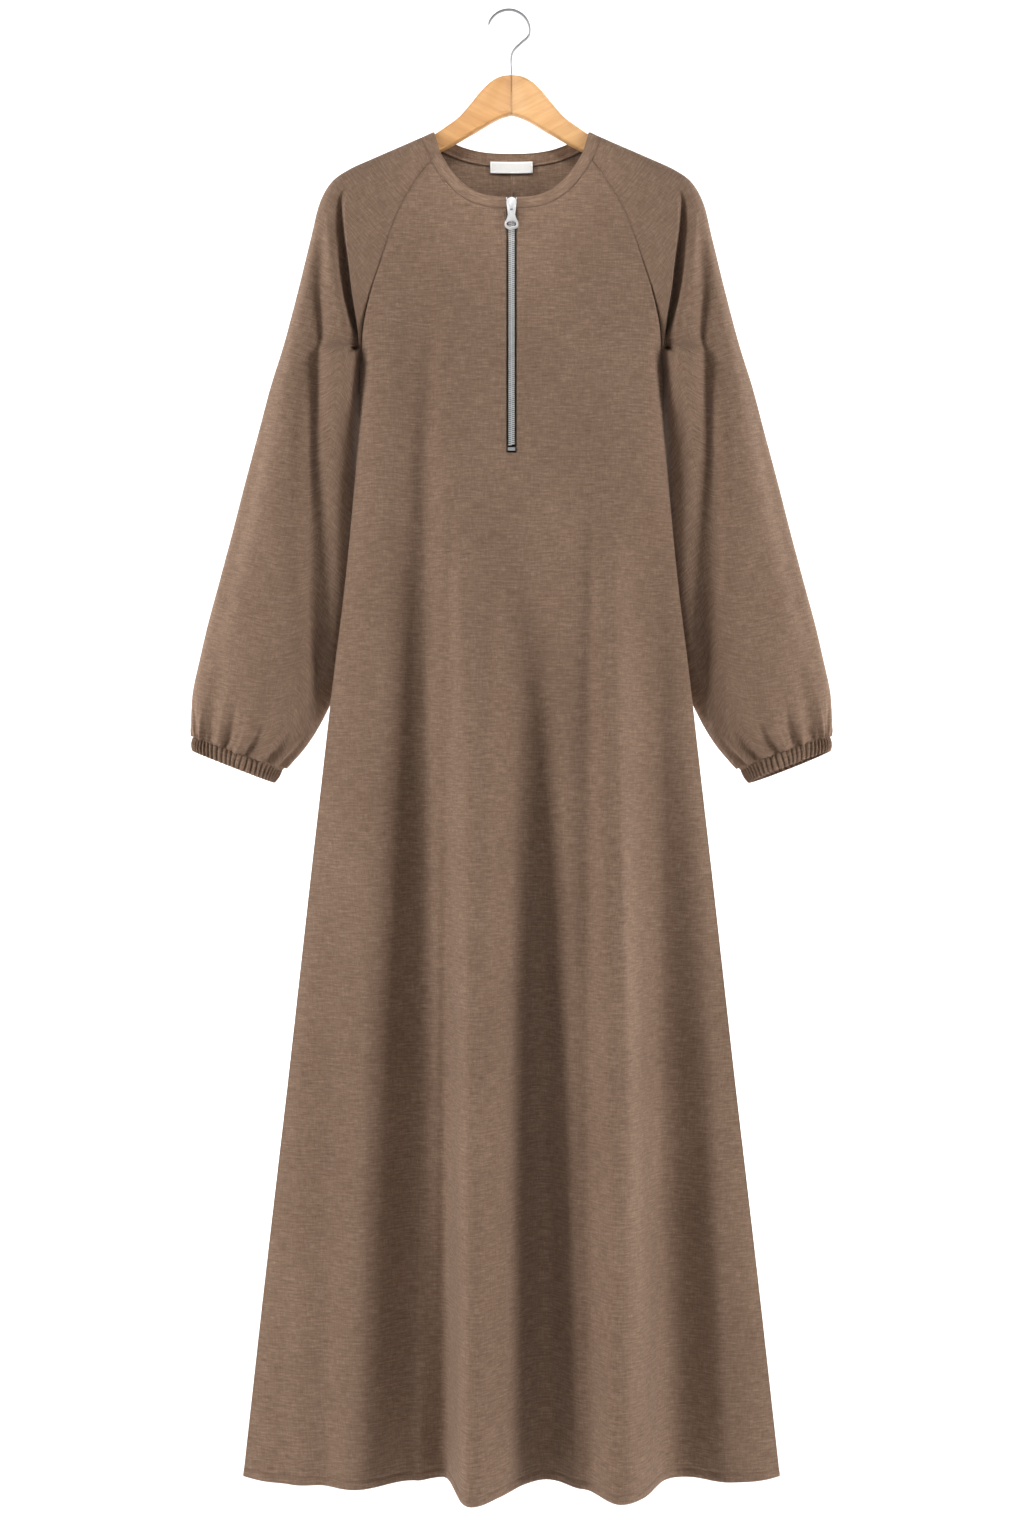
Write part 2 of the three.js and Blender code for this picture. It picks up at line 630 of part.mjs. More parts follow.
// Slider: a front plate and a back plate joined by a post above the chain, with the bridge that
// the pull tab hangs from.
const SLIDER = {
  top: 201.5,
  bottom: 217.5,
  topHalf: 3,
  wideHalf: 5.2,
  wideDown: 204.5,
  lowHalf: 4.1,
  shoulder: 4, // how far below wideDown the plate stays wide
  shoulderIn: 0.4,
  plate: 1.6,
  clear: 0.35, // between a plate and the chain or tape
};
const POST = { half: 1.6, from: 1, to: 7, sunk: 0.5 };
const BRIDGE = { half: 1.4, length: 11, rise: 5.2, bar: 1.4, clear: 3.6, corner: 1.6, foot: 0.4 };
const PIVOT = { down: 208.9, half: 3.3, bar: 1.7, thick: 1.4 };
const TAB = {
  waistDown: 219,
  waistHalf: 3.6,
  waistBend: 3, // how far below the waist the side starts to flare
  ringDown: 230,
  ringHalf: 7.1,
  flareIn: 1, // the flare's bend lies this far in from the ring's side
  flareUp: 4, // and this far above the ring's middle
  ringBend: 2,
  end: 235.2,
};
const TAB_WINDOW = { half: 1.9, length: 7.2 };
const TAB_RING = { half: 4.9, high: 3.1, down: 229.6 };

const sliderFront = zipFace(SLIDER.top) - CHAIN_FRONT - SLIDER.clear; // the front plate's inner face
const sliderFace = sliderFront - SLIDER.plate;
const pivotY = sliderFace - BRIDGE.clear / 2;

// A flat piece that stands upright and faces the front; face is its back side.
function uprightPiece(shape, face, thick) {
  const made = new THREE.ExtrudeGeometry(shape, { depth: thick, bevelEnabled: false, curveSegments: 8 });
  return made.rotateX(Math.PI / 2).translate(0, face, 0);
}

function outline(points) {
  return new THREE.Shape(points.map(([x, down]) => new THREE.Vector2(x, -down)));
}

function block(x0, x1, y0, y1, down0, down1) {
  const made = new THREE.BoxGeometry(x1 - x0, y1 - y0, down1 - down0);
  return made.translate((x0 + x1) / 2, (y0 + y1) / 2, -(down0 + down1) / 2);
}

function slider() {
  const s = SLIDER;
  const plate = [
    [-s.topHalf, s.top],
    [s.topHalf, s.top],
    [s.wideHalf, s.wideDown],
    [s.wideHalf - s.shoulderIn, s.wideDown + s.shoulder],
    [s.lowHalf, s.bottom],
    [-s.lowHalf, s.bottom],
    [-s.wideHalf + s.shoulderIn, s.wideDown + s.shoulder],
    [-s.wideHalf, s.wideDown],
  ];
  const backFace = zipFace(s.top) + WALL + SEAM_GAP + TAPE_THICK + s.clear + s.plate;
  const front = solidOf(uprightPiece(outline(plate), sliderFront, s.plate));
  const back = solidOf(uprightPiece(outline(plate), backFace, s.plate));
  const postFront = sliderFront - POST.sunk;
  const postBack = backFace - s.plate + POST.sunk;
  const post = solidOf(
    block(-POST.half, POST.half, postFront, postBack, s.top + POST.from, s.top + POST.to),
  );
  const half = BRIDGE.length / 2;
  const { rise, corner, foot, bar, clear } = BRIDGE; // the feet sink into the plate
  const arch = new THREE.Shape();
  arch.moveTo(-half, -foot);
  arch.lineTo(-half, rise - corner);
  arch.quadraticCurveTo(-half, rise, -half + corner, rise);
  arch.lineTo(half - corner, rise);
  arch.quadraticCurveTo(half, rise, half, rise - corner);
  arch.lineTo(half, -foot);
  arch.lineTo(half - bar, -foot);
  arch.lineTo(half - bar, clear);
  arch.lineTo(-half + bar, clear);
  arch.lineTo(-half + bar, -foot);
  const swept = new THREE.ExtrudeGeometry(arch, {
    depth: 2 * BRIDGE.half,
    bevelEnabled: false,
    curveSegments: 3,
  });
  swept.translate(0, 0, -BRIDGE.half);
  // The arch is drawn with X up the zip and Y away from the cloth.
  const toFront = new THREE.Matrix4().makeBasis(
    new THREE.Vector3(0, 0, 1),
    new THREE.Vector3(0, -1, 0),
    new THREE.Vector3(1, 0, 0),
  );
  swept.applyMatrix4(toFront);
  swept.translate(0, sliderFace, -PIVOT.down);
  return geometryOf(front.add(back).add(post).add(solidOf(swept)));
}

function pullTab() {
  const t = TAB;
  const top = PIVOT.down - PIVOT.bar / 2;
  const shape = new THREE.Shape();
  const at = (x, down) => [x, -down];
  shape.moveTo(...at(-PIVOT.half, top));
  shape.lineTo(...at(-t.waistHalf, t.waistDown));
  const flareX = t.ringHalf - t.flareIn;
  const flareDown = t.ringDown - t.flareUp;
  const bendDown = t.waistDown + t.waistBend;
  const ringTop = t.ringDown - t.ringBend;
  shape.quadraticCurveTo(...at(-t.waistHalf, bendDown), ...at(-flareX, flareDown));
  shape.quadraticCurveTo(...at(-t.ringHalf, ringTop), ...at(-t.ringHalf, t.ringDown));
  shape.quadraticCurveTo(...at(-t.ringHalf, t.end), ...at(0, t.end));
  shape.quadraticCurveTo(...at(t.ringHalf, t.end), ...at(t.ringHalf, t.ringDown));
  shape.quadraticCurveTo(...at(t.ringHalf, ringTop), ...at(flareX, flareDown));
  shape.quadraticCurveTo(...at(t.waistHalf, bendDown), ...at(t.waistHalf, t.waistDown));
  shape.lineTo(...at(PIVOT.half, top));
  const eye = new THREE.Path();
  const w = TAB_WINDOW;
  const windowTop = top + PIVOT.bar;
  eye.moveTo(...at(-w.half, windowTop));
  eye.lineTo(...at(w.half, windowTop));
  eye.lineTo(...at(w.half, PIVOT.down + w.length - w.half));
  eye.quadraticCurveTo(...at(w.half, PIVOT.down + w.length), ...at(0, PIVOT.down + w.length));
  eye.quadraticCurveTo(
    ...at(-w.half, PIVOT.down + w.length),
    ...at(-w.half, PIVOT.down + w.length - w.half),
  );
  const ring = new THREE.Path();
  ring.absellipse(0, -TAB_RING.down, TAB_RING.half, TAB_RING.high, 0, 2 * Math.PI, true);
  shape.holes.push(eye, ring);
  return uprightPiece(shape, pivotY + PIVOT.thick / 2, PIVOT.thick);
}

// The hanger's two arms, cut from one outline, split at the middle and bored for the stem.
const WOOD_TOP = [
  { x: 0, down: 67.5 },
  { x: 12, down: 69.3 },
  { x: 22.6, down: 75.3 },
  { x: 33.1, down: 85.6 },
  { x: 43.6, down: 98.5 },
  { x: 55.1, down: 111.5 },
  { x: 69.8, down: 122.4 },
  { x: 81.4, down: 130.1 },
  { x: 95, down: 135.8 },
  { x: 123.4, down: 148.3 },
  { x: 147.5, down: 158.8 },
  { x: 168, down: 168.9 },
  { x: 176, down: 175.4 },
];
const WOOD_BOTTOM = [
  { x: 179, down: 181.5 },
  { x: 175, down: 186.5 },
  { x: 158, down: 181.5 },
  { x: 120, down: 166 },
  { x: 74, down: 147.1 },
  { x: 37.3, down: 127.1 },
  { x: 14, down: 113.5 },
  { x: 0, down: 108.8 },
];

function hangerHalves() {
  const right = [...WOOD_TOP, ...WOOD_BOTTOM].map(({ x, down }) => new THREE.Vector2(x, -down));
  const left = right
    .slice(1, -1)
    .reverse()
    .map((p) => new THREE.Vector2(-p.x, p.y));
  const made = new THREE.ExtrudeGeometry(new THREE.Shape([...right, ...left]), {
    depth: WOOD_THICK - 2 * WOOD_EDGE,
    bevelEnabled: true,
    bevelSize: WOOD_EDGE,
    bevelThickness: WOOD_EDGE,
    bevelOffset: -WOOD_EDGE,
    bevelSegments: 2,
  });
  made.rotateX(Math.PI / 2).translate(0, WOOD_THICK / 2 - WOOD_EDGE, 0);
  const lowest = WOOD_BOTTOM[WOOD_BOTTOM.length - 1].down;
  const joint = block(-SEAM_GAP / 2, SEAM_GAP / 2, -WOOD_THICK, WOOD_THICK, 0, lowest + JOINT_BELOW);
  const boreEnd = STEM_END + STEM_CLEARANCE;
  const boreTop = WOOD_TOP[0].down - BORE_ABOVE;
  const bore = new THREE.CylinderGeometry(
    WIRE_RADIUS + STEM_CLEARANCE,
    WIRE_RADIUS + STEM_CLEARANCE,
    boreEnd - boreTop,
    12,
  );
  bore.rotateX(Math.PI / 2).translate(0, 0, -(boreEnd + boreTop) / 2);
  const halves = solidOf(made).subtract(solidOf(joint)).subtract(solidOf(bore)).decompose();
  const middleX = (solid) => (solid.boundingBox().min[0] + solid.boundingBox().max[0]) / 2;
  return halves.sort((a, b) => middleX(a) - middleX(b)).map(geometryOf);
}

function hook() {
  const inside = HOOK_RADIUS - WIRE_RADIUS;
  const centreDown = Math.sqrt(inside ** 2 - HOOK_CENTRE_X ** 2);
  const points = HOOK_BENDS.map(({ x, down }) => new THREE.Vector3(x, 0, -down));
  for (let i = 0; i <= HOOK_ARC.steps; i++) {
    const degrees = lerp(HOOK_ARC.from, HOOK_ARC.to, i / HOOK_ARC.steps);
    const angle = THREE.MathUtils.degToRad(degrees);
    const x = HOOK_CENTRE_X + HOOK_RADIUS * Math.cos(angle);
    points.push(new THREE.Vector3(x, 0, -centreDown + HOOK_RADIUS * Math.sin(angle)));
  }
  const ringShape = new THREE.Shape(
    Array.from({ length: HOOK_SIDES }, (_, i) => {
      const angle = (2 * Math.PI * i) / HOOK_SIDES;
      return new THREE.Vector2(WIRE_RADIUS * Math.cos(angle), WIRE_RADIUS * Math.sin(angle));
    }),
  );
  return new THREE.ExtrudeGeometry(ringShape, {
    steps: HOOK_STEPS,
    extrudePath: new THREE.CatmullRomCurve3(points, false, "centripetal"),
  });
}

const abaya = new THREE.Group();
function place(name, geometry, look) {
  const mesh = new THREE.Mesh(geometry, MATERIALS[look]());
  mesh.name = name;
  abaya.add(mesh);
}

place("front", frontPanel(), "cloth");
place("back_right", backPanel(1), "cloth");
place("back_left", backPanel(-1), "cloth");
place("sleeve_right", sleeve(false, RIGHT_CUFF_TILT), "cloth");
place("sleeve_left", sleeve(true, 0), "cloth");
place("cuff_right", cuff(false, RIGHT_CUFF_TILT), "cloth");
place("cuff_left", cuff(true, 0), "cloth");
place("neckband", neckband(), "cloth");
place("label", label(), "label");

const tapeFront = WALL + SEAM_GAP;
const tapeInner = CHAIN_HALF + SEAM_GAP;
const tape = (left, right) =>
  zipStrip(left, right, ZIP_TOP, SLIT_END + TAPE_BELOW, tapeFront, tapeFront + TAPE_THICK);
place("zip_tape_right", tape(tapeInner, TAPE_OUTER), "tape");
place("zip_tape_left", tape(-TAPE_OUTER, -tapeInner), "tape");
place(
  "zip_chain",
  zipStrip(-CHAIN_HALF, CHAIN_HALF, CHAIN_TOP, CHAIN_END, -CHAIN_FRONT, CHAIN_THICK - CHAIN_FRONT),
  "metal",
);
place("zip_slider", slider(), "metal");
place("pull_tab", pullTab(), "metal");

const stopFront = zipFace(ZIP_TOP) - CHAIN_FRONT;
const stopBack = zipFace(ZIP_TOP) + WALL;
const topStop = (left, right) =>
  block(left, right, stopFront, stopBack, ZIP_TOP, ZIP_TOP + TOP_STOP.high);
place("zip_stop_right", topStop(TOP_STOP.inner, TOP_STOP.outer), "metal");
place("zip_stop_left", topStop(-TOP_STOP.outer, -TOP_STOP.inner), "metal");
const endTop = CHAIN_END + SEAM_GAP;
const endFront = zipFace(endTop) - CHAIN_FRONT;
const endStop = block(
  -CHAIN_HALF,
  CHAIN_HALF,
  endFront,
  endFront + CHAIN_THICK,
  endTop,
  endTop + END_STOP_HIGH,
);
place("zip_stop_bottom", endStop, "metal");

const [woodLeft, woodRight] = hangerHalves();
place("hanger_left", woodLeft, "woodDark");
place("hanger_right", woodRight, "wood");
place("hook", hook(), "metal");

export default abaya;
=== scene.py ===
# %% [markdown]
# # A long abaya on a wooden hanger
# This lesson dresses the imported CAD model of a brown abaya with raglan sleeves, a half-front zip
# and gathered cuffs. The solids already have the garment's shape. Here each one is replaced by a
# thin shell of cloth on the same form, with its creases, seams and stitches, and every finish gets
# a material made from nodes. Lengths are worked out in millimetres, and turned into metres when a
# mesh is made. Heights are given as "down", the distance below the inside top of the hook.

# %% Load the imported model
import math

import bmesh
import bpy
import numpy as np
from mathutils import Matrix, Vector


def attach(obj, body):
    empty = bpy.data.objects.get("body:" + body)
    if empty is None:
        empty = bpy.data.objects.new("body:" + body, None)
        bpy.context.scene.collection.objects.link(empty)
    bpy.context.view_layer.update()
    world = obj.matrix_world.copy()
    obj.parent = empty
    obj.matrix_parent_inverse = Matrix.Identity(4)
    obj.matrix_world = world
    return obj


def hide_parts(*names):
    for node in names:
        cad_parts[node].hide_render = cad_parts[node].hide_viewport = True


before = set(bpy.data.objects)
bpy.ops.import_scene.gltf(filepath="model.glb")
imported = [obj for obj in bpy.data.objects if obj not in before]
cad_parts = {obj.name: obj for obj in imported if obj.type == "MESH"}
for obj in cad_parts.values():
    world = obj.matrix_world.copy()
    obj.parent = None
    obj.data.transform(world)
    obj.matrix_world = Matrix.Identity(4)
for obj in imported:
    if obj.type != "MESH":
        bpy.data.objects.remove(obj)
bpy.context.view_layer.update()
MM = 0.001

# %% [markdown]
# The photograph is taken from straight in front, a little over two metres away, level with the
# garment's middle. A camera can be set by turning it until things line up, but here the scale of
# the picture is known, so the lens follows from it.

# %% Camera
CAMERA_AWAY = 2300
EYE_DOWN = 794.4
VIEW_HALF_HEIGHT = 806.4
CAMERA_SIDE = 0.5
SENSOR = 36


def placed(name, data):
    made = bpy.data.objects.new(name, data)
    bpy.context.collection.objects.link(made)
    return made


camera_data = bpy.data.cameras.new("camera")
camera_data.sensor_fit = "VERTICAL"
camera_data.sensor_height = SENSOR
camera_data.lens = SENSOR / 2 * CAMERA_AWAY / VIEW_HALF_HEIGHT
camera = placed("camera", camera_data)
camera.location = (CAMERA_SIDE * MM, -CAMERA_AWAY * MM, -EYE_DOWN * MM)
camera.rotation_euler = (math.radians(90), 0, 0)
bpy.context.scene.camera = camera
print("lens", round(camera_data.lens, 2), "mm")

# %% [markdown]
# A material in Blender is a small network of nodes. This helper starts one and gives back its tree
# and its shader, so that each finish below only adds what makes it special. Values that are the
# same all over the surface are set on the shader's own sockets, because an export keeps those.


# %% Material helpers
def new_material(name, **values):
    made = bpy.data.materials.new(name)
    made.use_nodes = True
    shader = made.node_tree.nodes["Principled BSDF"]
    for socket, value in values.items():
        shader.inputs[socket.replace("_", " ")].default_value = value
    return made, made.node_tree, shader


def add_node(tree, kind, values=None, **settings):
    node = tree.nodes.new(kind)
    for key, value in settings.items():
        setattr(node, key, value)
    for socket, value in (values or {}).items():
        node.inputs[socket].default_value = value
    return node


def stretched_noise(tree, coordinates, scale, detail=3, roughness=0.6):
    mapping = add_node(tree, "ShaderNodeMapping", {"Scale": scale})
    noise = add_node(tree, "ShaderNodeTexNoise", {"Scale": 1, "Detail": detail, "Roughness": roughness})
    tree.links.new(coordinates, mapping.inputs["Vector"])
    tree.links.new(mapping.outputs["Vector"], noise.inputs["Vector"])
    return noise.outputs["Fac"]


def blend_values(tree, kind, first, second):
    node = add_node(tree, "ShaderNodeMath", operation=kind)
    for socket, value in zip(node.inputs, (first, second)):
        if isinstance(value, (int, float)):
            socket.default_value = value
        else:
            tree.links.new(value, socket)
    return node.outputs[0]


def colour_ramp(tree, factor, stops):
    ramp = add_node(tree, "ShaderNodeValToRGB")
    elements = ramp.color_ramp.elements
    while len(elements) < len(stops):
        elements.new(0.5)
    for element, (position, colour) in zip(elements, stops):
        element.position = position
        element.color = (*colour, 1)
    tree.links.new(factor, ramp.inputs["Fac"])
    return ramp.outputs["Color"]


def bump(tree, shader, height, distance, strength=1.0):
    node = add_node(tree, "ShaderNodeBump", {"Distance": distance, "Strength": strength})
    tree.links.new(height, node.inputs["Height"])
    tree.links.new(node.outputs["Normal"], shader.inputs["Normal"])


print("material helpers ready")

# %% [markdown]
# The cloth is a fine plain weave of mixed brown yarns, which looks heathered: thousands of short
# lighter and darker strokes, most of them along the yarns. An image would repeat and blur. Noise
# that is stretched along each yarn direction gives the strokes at any distance, and reads the
# piece's own UV map, in metres, so that the grain follows the cloth into its folds.

# %% Cloth material
CLOTH_DARK = (0.116, 0.069, 0.045)
CLOTH_MID = (0.196, 0.124, 0.083)
CLOTH_LIGHT = (0.304, 0.205, 0.144)
TONE_STOPS = (0.385, 0.5, 0.615)
YARN_PITCH = 0.00045  # metres between yarns
WEAVE_SHARE = 0.12
STROKES = (  # strokes in a metre across and down, their detail, and their share in the tone
    (160, 1500, 3, 1.0),  # weft yarns
    (1700, 210, 3, 0.7),  # warp yarns
    (55, 520, 4, 1.1),  # thick places in the weft
    (620, 60, 4, 0.6),  # thick places in the warp
    (9, 7, 2, 0.3),  # uneven dye
)


def cloth_material(name, lightness=1.0):
    made, tree, shader = new_material(name, Roughness=0.92, Sheen_Weight=0.18, Sheen_Roughness=0.6)
    shader.inputs["Sheen Tint"].default_value = (0.62, 0.5, 0.42, 1)
    shader.inputs["Specular IOR Level"].default_value = 0.18
    uv = add_node(tree, "ShaderNodeUVMap", uv_map="grain").outputs["UV"]
    tones = 0
    for across, down, detail, weight in STROKES:
        strokes = stretched_noise(tree, uv, (across, down, 1), detail=detail)
        tones = blend_values(tree, "ADD", tones, blend_values(tree, "MULTIPLY", strokes, weight))
    level = blend_values(tree, "DIVIDE", tones, sum(weight for *_, weight in STROKES))
    shade = [tuple(channel * lightness for channel in c) for c in (CLOTH_DARK, CLOTH_MID, CLOTH_LIGHT)]
    colour = colour_ramp(tree, level, list(zip(TONE_STOPS, shade)))
    tree.links.new(colour, shader.inputs["Base Color"])
    mapping = add_node(tree, "ShaderNodeMapping", {"Scale": (1 / YARN_PITCH, 1 / YARN_PITCH, 1)})
    weave = add_node(tree, "ShaderNodeTexChecker", {"Scale": 1})
    tree.links.new(uv, mapping.inputs["Vector"])
    tree.links.new(mapping.outputs["Vector"], weave.inputs["Vector"])
    squares = blend_values(tree, "MULTIPLY", weave.outputs["Fac"], WEAVE_SHARE)
    height = blend_values(tree, "ADD", level, squares)
    bump(tree, shader, height, 0.0006, 0.55)
    return made


cloth = cloth_material("brown_heather_cloth")
thread = cloth_material("stitching_thread", lightness=0.8)
print("cloth", cloth.name, "and", thread.name)

# %% [markdown]
# Metal, wood and the label need other finishes. The zip and the hook are bright plate with faint
# brushing. The hanger is pale varnished wood, whose grain runs along each arm, and the left arm is
# a little darker and warmer. The label is plain white satin ribbon with a fine rib. Its middle is
# painted grey as shade, and its edges are painted lighter as a painted highlight.


# %% Hard finishes and the label
WORN_SHADES = (0.86, 1.06)  # shares of the metal's own colour
PORE_SHARE = 0.35
JOINT_DARK = 0.45
JOINT_FROM, JOINT_TO = 0.0003, 0.0011  # metres from the joint of the two arms


def metal_material(name, colour, roughness, metallic):
    made, tree, shader = new_material(name, Metallic=metallic)
    place = add_node(tree, "ShaderNodeTexCoord").outputs["Object"]
    brushed = stretched_noise(tree, place, (2600, 2600, 700), detail=2)
    worn = stretched_noise(tree, place, (160, 160, 160), detail=4)
    low, high = (tuple(c * k for c in colour) for k in WORN_SHADES)
    tree.links.new(colour_ramp(tree, worn, [(0.3, low), (0.7, high)]), shader.inputs["Base Color"])
    gloss = add_node(tree, "ShaderNodeMapRange", {"To Min": roughness - 0.06, "To Max": roughness + 0.1})
    tree.links.new(brushed, gloss.inputs["Value"])
    tree.links.new(gloss.outputs["Result"], shader.inputs["Roughness"])
    bump(tree, shader, brushed, 0.00002, 0.2)
    return made


def wood_material(name, pale, dark, slope):
    made, tree, shader = new_material(name, Coat_Weight=0.08, Coat_Roughness=0.4)
    place = add_node(tree, "ShaderNodeTexCoord").outputs["Object"]
    along = add_node(tree, "ShaderNodeMapping", {"Rotation": (0, math.radians(slope), 0)})
    tree.links.new(place, along.inputs["Vector"])
    rings = stretched_noise(tree, along.outputs["Vector"], (9, 120, 170), detail=5, roughness=0.55)
    pores = stretched_noise(tree, along.outputs["Vector"], (120, 1900, 2100), detail=2)
    level = blend_values(tree, "ADD", rings, blend_values(tree, "MULTIPLY", pores, PORE_SHARE))
    level = blend_values(tree, "DIVIDE", level, 1 + PORE_SHARE)
    across = add_node(tree, "ShaderNodeSeparateXYZ")
    tree.links.new(place, across.inputs["Vector"])
    from_joint = blend_values(tree, "ABSOLUTE", across.outputs["X"], 0)
    edge = {"From Min": JOINT_FROM, "From Max": JOINT_TO, "To Min": JOINT_DARK}
    joint = add_node(tree, "ShaderNodeMapRange", edge)
    tree.links.new(from_joint, joint.inputs["Value"])
    mix = add_node(tree, "ShaderNodeMix", data_type="RGBA", blend_type="MULTIPLY")
    mix.inputs[0].default_value = 1
    tree.links.new(colour_ramp(tree, level, [(0.36, dark), (0.6, pale)]), mix.inputs[6])
    tree.links.new(joint.outputs["Result"], mix.inputs[7])
    tree.links.new(mix.outputs[2], shader.inputs["Base Color"])
    gloss = add_node(tree, "ShaderNodeMapRange", {"To Min": 0.5, "To Max": 0.62})
    tree.links.new(pores, gloss.inputs["Value"])
    tree.links.new(gloss.outputs["Result"], shader.inputs["Roughness"])
    bump(tree, shader, level, 0.0003, 0.25)
    return made


def ribbon_material(name, low, high, rib_pitch, roughness, sheen, painted_highlight_rim=None):
    made, tree, shader = new_material(name, Roughness=roughness, Sheen_Weight=sheen)
    place = add_node(tree, "ShaderNodeTexCoord").outputs["Object"]
    threads = stretched_noise(tree, place, (300, 300, 1 / rib_pitch), detail=2)
    colour = colour_ramp(tree, threads, [(0.3, low), (0.7, high)])
    # The rim colour is a painted highlight: the ribbon is painted lighter along its marked edge.
    if painted_highlight_rim:
        edge = add_node(tree, "ShaderNodeAttribute", attribute_name="painted_highlight_rim").outputs["Fac"]
        mix = add_node(tree, "ShaderNodeMix", data_type="RGBA")
        mix.inputs[7].default_value = (*painted_highlight_rim, 1)
        tree.links.new(edge, mix.inputs[0])
        tree.links.new(colour, mix.inputs[6])
        colour = mix.outputs[2]
    tree.links.new(colour, shader.inputs["Base Color"])
    bump(tree, shader, threads, 0.0002, 0.5)
    return made


zip_metal = metal_material("bright_nickel", (0.74, 0.74, 0.74), 0.34, 0.8)
wire_metal = metal_material("plated_wire", (0.36, 0.36, 0.37), 0.42, 0.9)
wood_right = wood_material("pale_wood_right", (0.60, 0.34, 0.14), (0.49, 0.25, 0.088), 27)
wood_left = wood_material("pale_wood_left", (0.55, 0.29, 0.105), (0.44, 0.205, 0.062), -27)
# The label's field colours are painted grey shade on white ribbon, and its rim colour is a painted
# highlight.
label_ribbon = ribbon_material(
    "white_satin_label", (0.62, 0.61, 0.58), (0.70, 0.69, 0.67), 0.0006, 0.5, 0.3, painted_highlight_rim=(0.90, 0.90, 0.88))
tape_weave = ribbon_material(
    "woven_zip_tape", (0.035, 0.024, 0.018), (0.065, 0.046, 0.034), 0.0007, 0.9, 0.1)
print("finishes", [m.name for m in bpy.data.materials])

# %% [markdown]
# The garment's form comes from a few tables of sizes, the same ones that the solids are made from.
# Each table has named columns, and a value between two rows is read off a smooth curve through
# them. That keeps every shell on its solid, and lets it have as many points as the creases need.


# %% Tables of sizes
def table(names, text):
    rows = np.array([[float(word) for word in line.split()] for line in text.strip().splitlines()])
    made = {name: rows[:, i] for i, name in enumerate(names.split())}
    made["row"] = np.arange(len(rows), dtype=float)
    return made


RAGLAN_FRONT = table("out down depth middle", """
    74.7 150.4 12 200.1
    84.6 160.1 14 212.3
    96.4 176.4 18 228
    108.8 196.9 21 246
    121.2 221.4 23 266
    130.5 247.6 23 288
    137.7 269.5 21.5 307
    147.2 298.1 20 331
    155 331 15 357
    158.4 367 0 384
""")
RAGLAN_BACK = table("out down depth middle", """
    67 131.6 13 144.1
    74.5 140.5 15 156
    88 158 18 176
    102 181 21 200
    116 209 23 228
    127 238 24 257
    136 265 24 284
    146.5 296.5 22 315
    155 331 14 349
    158.4 367 0 384
""")
BODY = table("down half front back square", """
    140 158.4 22 19 3
    200 158.4 22 22 3
    367 158.4 27 27 16
    424 160 30 30 12
    513 166.4 34 33 8
    592 173.8 36 35 5
    676 184.3 37 37 5
    776 195.8 37 38 5
    933 213.7 35 38 5
    1122 234.7 32 37 5
    1311 256.7 29 35 6
    1500 277.7 28 34 6
    1543 282.4 28 34 6
""")
SKIRT_ROWS = table("side middle", """
    415 424
    463 467.7
    529 531
    610 610
    700 700
    800 800
    905 905
    1015 1015
    1125 1125
    1235 1235
    1345 1345
    1445 1447
    1538 1543
""")
SLEEVE_TOP = table("out down depth mid fold valley", """
    81.4 126.6 12 0 0.5 0
    95 133 14 0 0.5 0
    123.4 145.5 18 0 0.55 0
    147.5 156 21 0 0.6 0
    170.6 166.5 23 0 0.66 0
    189 179 24 2 0.7 3
    202 201 25 4 0.55 11
    211 236 26 6 0.33 17
    226 296 28 9 0.09 19
""")
SLEEVE_TUBE = table("seam seamDown seamMid out down mid depth lean", """
    158.6 367 0 240 350 12 31 0
    160.4 408 12 254 395 16 37 0
    163 453 20 265.5 436 20 41 0
    165.8 510 24 280 488 23 43 0
    169.5 567 25 294.4 542 25 43 0
    174.3 622 25 308.7 593 25 43 0
    180.4 671 25 321.5 639 25 43 0
    188.6 711 25 331.1 680 25 43 0
    200.9 739 25 338 712 25 41 0.25
    214.2 762 25 340 737 25 35 0.5
    228.5 780.6 25 339.6 752 25 28 0.8
    242.8 794.4 25 338 760.4 25 21 1
""")
CUFF = table("inner innerDown out down depth rib", """
    243.9 795.3 337.4 761.2 20 2.2
    248.6 802.8 338.7 769 20.3 4.0
    252.8 810 338.4 776.6 19.4 2.0
""")
HEM_DOWN = 1543
HEM_CURVE = 6
NECK_CURVE = 2.7
CLOTH_THICK = 0.9
GARMENT = "garment"


def read(rows, key, value, column):
    keys, values = rows[key], rows[column]
    value = np.clip(np.asarray(value, dtype=float), keys[0], keys[-1])
    slopes = np.empty_like(values)
    slopes[1:-1] = (values[2:] - values[:-2]) / (keys[2:] - keys[:-2])
    slopes[0] = (values[1] - values[0]) / (keys[1] - keys[0])
    slopes[-1] = (values[-1] - values[-2]) / (keys[-1] - keys[-2])
    i = np.clip(np.searchsorted(keys, value, side="right") - 1, 0, len(keys) - 2)
    span = keys[i + 1] - keys[i]
    t = (value - keys[i]) / span
    start = (2 * t**3 - 3 * t**2 + 1) * values[i] + (t**3 - 2 * t**2 + t) * slopes[i] * span
    return start + (3 * t**2 - 2 * t**3) * values[i + 1] + (t**3 - t**2) * slopes[i + 1] * span


def read_all(rows, r):
    return {name: read(rows, "row", r, name) for name in rows if name != "row"}


def each_row(rows):
    return [{name: rows[name][i] for name in rows} for i in range(len(rows["row"]))]


def lerp(a, b, t):
    return a + (b - a) * t


def smooth_step(low, high, value):
    t = np.clip((value - low) / (high - low), 0, 1)
    return t * t * (3 - 2 * t)


def bell(distance, width):
    return np.exp(-((distance / width) ** 2))


print("body length", HEM_DOWN - RAGLAN_FRONT["down"][0], "mm")

